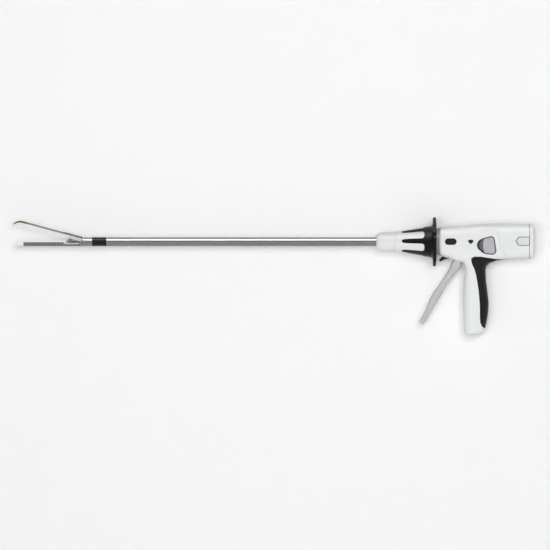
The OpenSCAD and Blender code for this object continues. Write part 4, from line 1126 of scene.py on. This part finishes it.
@dataclass
class Shaft(Assembly):
    """The long tube and the articulation joint at its end."""

    joint_x: float = -0.38235
    bend_half: float = 0.0092
    bend_steps: int = 16
    PIECES: ClassVar[dict[str, str]] = {
        "shaft_tube": "shaft_steel",
        "knuckle_base": "joint_coating",
        "knuckle_link": "joint_coating",
        "knuckle_pins": "turned_steel",
        "jaw_tube": "sleeve_steel",
    }

    def band(self) -> None:
        """Dress the drive band, cut across where it passes the joint."""
        first = self.joint_x - self.bend_half
        step = 2 * self.bend_half / self.bend_steps
        cuts = [first + step * number for number in range(self.bend_steps + 1)]
        self.shop.smooth("drive_band", "shaft_steel", cuts=cuts, bodies=("head", "shaft"))

    def build(self) -> None:
        """Dress the band, the tube and the joint."""
        self.band()
        super().build()


@dataclass
class Jaws(Assembly):
    """Channel, cartridge with its staples, anvil, knife and sled."""

    pitch: float = 0.0041
    pocket: float = 0.0026
    rows: tuple[float, float, float] = (0.00155, 0.00275, 0.00395)
    shifts: tuple[float, float, float] = (0.0, 0.5, 0.0)
    deep: float = 0.0007
    radius: float = 0.00011
    sides: int = 6
    count: int = 12
    rear: float = -0.4281
    deck: float = 0.0018
    proud: float = 0.0002
    PIECES: ClassVar[dict[str, str]] = {
        "channel": "channel_steel",
        "cartridge": "cartridge_plastic",
        "anvil_pin": "turned_steel",
        "anvil": "anvil_steel",
        "anvil_tip": "tip_metal",
        "knife_blade": "turned_steel",
        "wedge_sled": "drive_metal",
    }

    def pockets(self, tree: Repeat) -> Socket:
        """Return a point at the middle of each pocket of the deck.

        Args:
            tree: Tree of the staples.

        Returns:
            The points.
        """
        count = tree.size("Pockets in a row", self.count)
        pitch = tree.size("Pitch", self.pitch)
        back = tree.sheet.maths("MULTIPLY", pitch, -1.0)
        lines = []
        for number, (offset, shift) in enumerate(zip(self.rows, self.shifts), start=1):
            for side in (-1, 1):
                row = tree.size(f"Row {number} side {side}", side * offset)
                step = tree.sheet.maths("MULTIPLY", pitch, -(1.0 + shift))
                first = tree.sheet.maths("ADD", step, self.rear)
                corner = tree.vector(first, row, self.deck - self.deep + self.proud)
                line = tree.sheet.add(
                    "GeometryNodeMeshLine",
                    {"Count": count, "Offset": tree.vector(x=back), "Start Location": corner},
                )
                lines.append(line.outputs[0])
        return tree.gather(lines)

    def staples(self) -> None:
        """Set a wire staple into each pocket of the cartridge's deck."""
        bends = 3 * self.radius
        tree = Repeat("staple_rows")
        points = self.pockets(tree)
        wire = tree.size("Wire radius", self.radius)
        crown = tree.size("Half crown", self.pocket / 2 - bends)
        leg = tree.size("Leg", self.deep - bends)
        low = tree.sheet.maths("MULTIPLY", crown, -1.0)
        bars = []
        for begin, end in (
            (tree.vector(low, 0.0, leg), tree.vector(low)),
            (tree.vector(low), tree.vector(crown)),
            (tree.vector(crown), tree.vector(crown, 0.0, leg)),
        ):
            bar = tree.sheet.add("GeometryNodeCurvePrimitiveLine", {"Start": begin, "End": end})
            bars.append(bar.outputs[0])
        staple = tree.wire(tree.gather(bars), wire, self.sides)
        spread = tree.sheet.add(
            "GeometryNodeInstanceOnPoints", {"Points": points, "Instance": staple}
        )
        steel = self.shop.material("turned_steel")
        staples = tree.finish(spread.outputs[0], steel, "staples")
        self.shop.place(staples, "turned_steel", self.shop.bodies["cartridge"])

    def build(self) -> None:
        """Dress the jaws and load the staples."""
        super().build()
        self.staples()


@dataclass(frozen=True)
class Lamp:
    """One soft lamp of the studio."""

    name: str
    place: Point
    aim: Point
    width: float
    height: float
    power: float
    mirrored: bool = True
    diffuse: bool = True

    def hang(self) -> None:
        """Hang the lamp and turn it to what it lights."""
        data = bpy.data.lights.new(self.name, "AREA")
        data.shape = "RECTANGLE"
        data.size, data.size_y, data.energy = self.width, self.height, self.power
        lamp = bpy.data.objects.new(self.name, data)
        lamp.location = self.place
        ray = Vector(self.aim) - Vector(self.place)
        lamp.rotation_euler = ray.to_track_quat("-Z", "Y").to_euler()
        lamp.visible_camera = False
        lamp.visible_glossy = self.mirrored
        lamp.visible_diffuse = self.diffuse
        link(lamp)


@dataclass
class Studio:
    """The pale surface that the cutter lies on, the lamps, the world and the camera."""

    centre: tuple[float, float] = (-0.1398, -0.04595)
    distance: float = 12.0
    seen_width: float = 0.759
    sensor: float = 36.0
    clip: tuple[float, float] = (0.1, 100.0)
    surface_gap: float = 0.0005
    surface_half: float = 3.0
    floor_level: float = -0.46
    pale: Colour = from_screen(247, 247, 247)
    world_level: float = 0.22
    lamps: tuple[Lamp, ...] = (
        Lamp("key_front_right", (0.35, -3.9, 0.45), (-0.14, 0.0, -0.05), 1.3, 1.3, 65.0,
             mirrored=False),
        Lamp("fill_front_left", (-0.55, -3.9, -0.3), (-0.14, 0.0, -0.05), 1.3, 1.3, 53.0,
             mirrored=False),
        Lamp("strip_above", (-0.15, -0.95, 1.3), (-0.15, 0.0, 0.0), 2.8, 0.8, 44.0,
             diffuse=False),
    )

    def sheet_of_paper(self, name: str, corners: list[Point]) -> None:
        """Lay one pale surface that shows from its front only.

        Args:
            name: Name of the surface.
            corners: Its four corners, anticlockwise as seen from its front.
        """
        mesh = bpy.data.meshes.new(name)
        mesh.from_pydata(corners, [], [(0, 1, 2, 3)])
        plane = bpy.data.objects.new(name, mesh)
        link(plane)
        material = bpy.data.materials.new(name)
        material.use_nodes = True
        sheet = Sheet(material.node_tree)
        sheet.tree.nodes.clear()
        back = sheet.add("ShaderNodeNewGeometry").outputs["Backfacing"]
        paper = sheet.add("ShaderNodeBsdfDiffuse", {"Color": rgba(self.pale)}).outputs[0]
        clear = sheet.add("ShaderNodeBsdfTransparent").outputs[0]
        choice = sheet.add("ShaderNodeMixShader", {0: back, 1: paper, 2: clear})
        sheet.add("ShaderNodeOutputMaterial", {"Surface": choice.outputs[0]})
        mesh.materials.append(material)
        plane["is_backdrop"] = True

    def surfaces(self) -> None:
        """Lay the pale surface behind the cutter, and the floor below the view."""
        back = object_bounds()[1].y + self.surface_gap
        half, low = self.surface_half, self.floor_level
        self.sheet_of_paper(
            "pale_backdrop",
            [(-half, back, low), (half, back, low), (half, back, half), (-half, back, half)],
        )
        self.sheet_of_paper(
            "pale_floor",
            [(-half, -half, low), (half, -half, low), (half, back, low), (-half, back, low)],
        )

    def world(self) -> None:
        """Light everything evenly from all round."""
        world = bpy.data.worlds.new("studio")
        bpy.context.scene.world = world
        world.use_nodes = True
        light = world.node_tree.nodes["Background"]
        light.inputs["Color"].default_value = (1.0, 1.0, 1.0, 1.0)
        light.inputs["Strength"].default_value = self.world_level

    def camera(self) -> None:
        """Set the long camera square to the cutter's left side."""
        data = bpy.data.cameras.new("camera")
        data.sensor_width = self.sensor
        data.lens = self.sensor * self.distance / self.seen_width
        data.clip_start, data.clip_end = self.clip
        camera = bpy.data.objects.new("camera", data)
        camera.location = (self.centre[0], -self.distance, self.centre[1])
        camera.rotation_euler = (math.pi / 2, 0.0, 0.0)
        link(camera)
        bpy.context.scene.camera = camera

    def build(self) -> None:
        """Set up the whole studio."""
        bpy.context.scene.view_settings.view_transform = "Standard"
        self.surfaces()
        self.world()
        self.camera()
        for lamp in self.lamps:
            lamp.hang()
        LOG.info("studio: %d lamps", len(self.lamps))


def write_sizes() -> None:
    """Update the scene's view layer.
    """
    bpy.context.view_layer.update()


def main() -> None:
    """Build every sub-assembly in order, then the studio."""
    logging.basicConfig(level=logging.INFO, format="%(name)s: %(message)s")
    shop = Workshop()
    for kind in (Handle, Controls, Drive, BatteryPack, Knob, Shaft, Jaws):
        kind(shop).build()
        LOG.info("%s is done", kind.__name__)
    Studio().build()
    write_sizes()


if __name__ == "__main__":
    main()
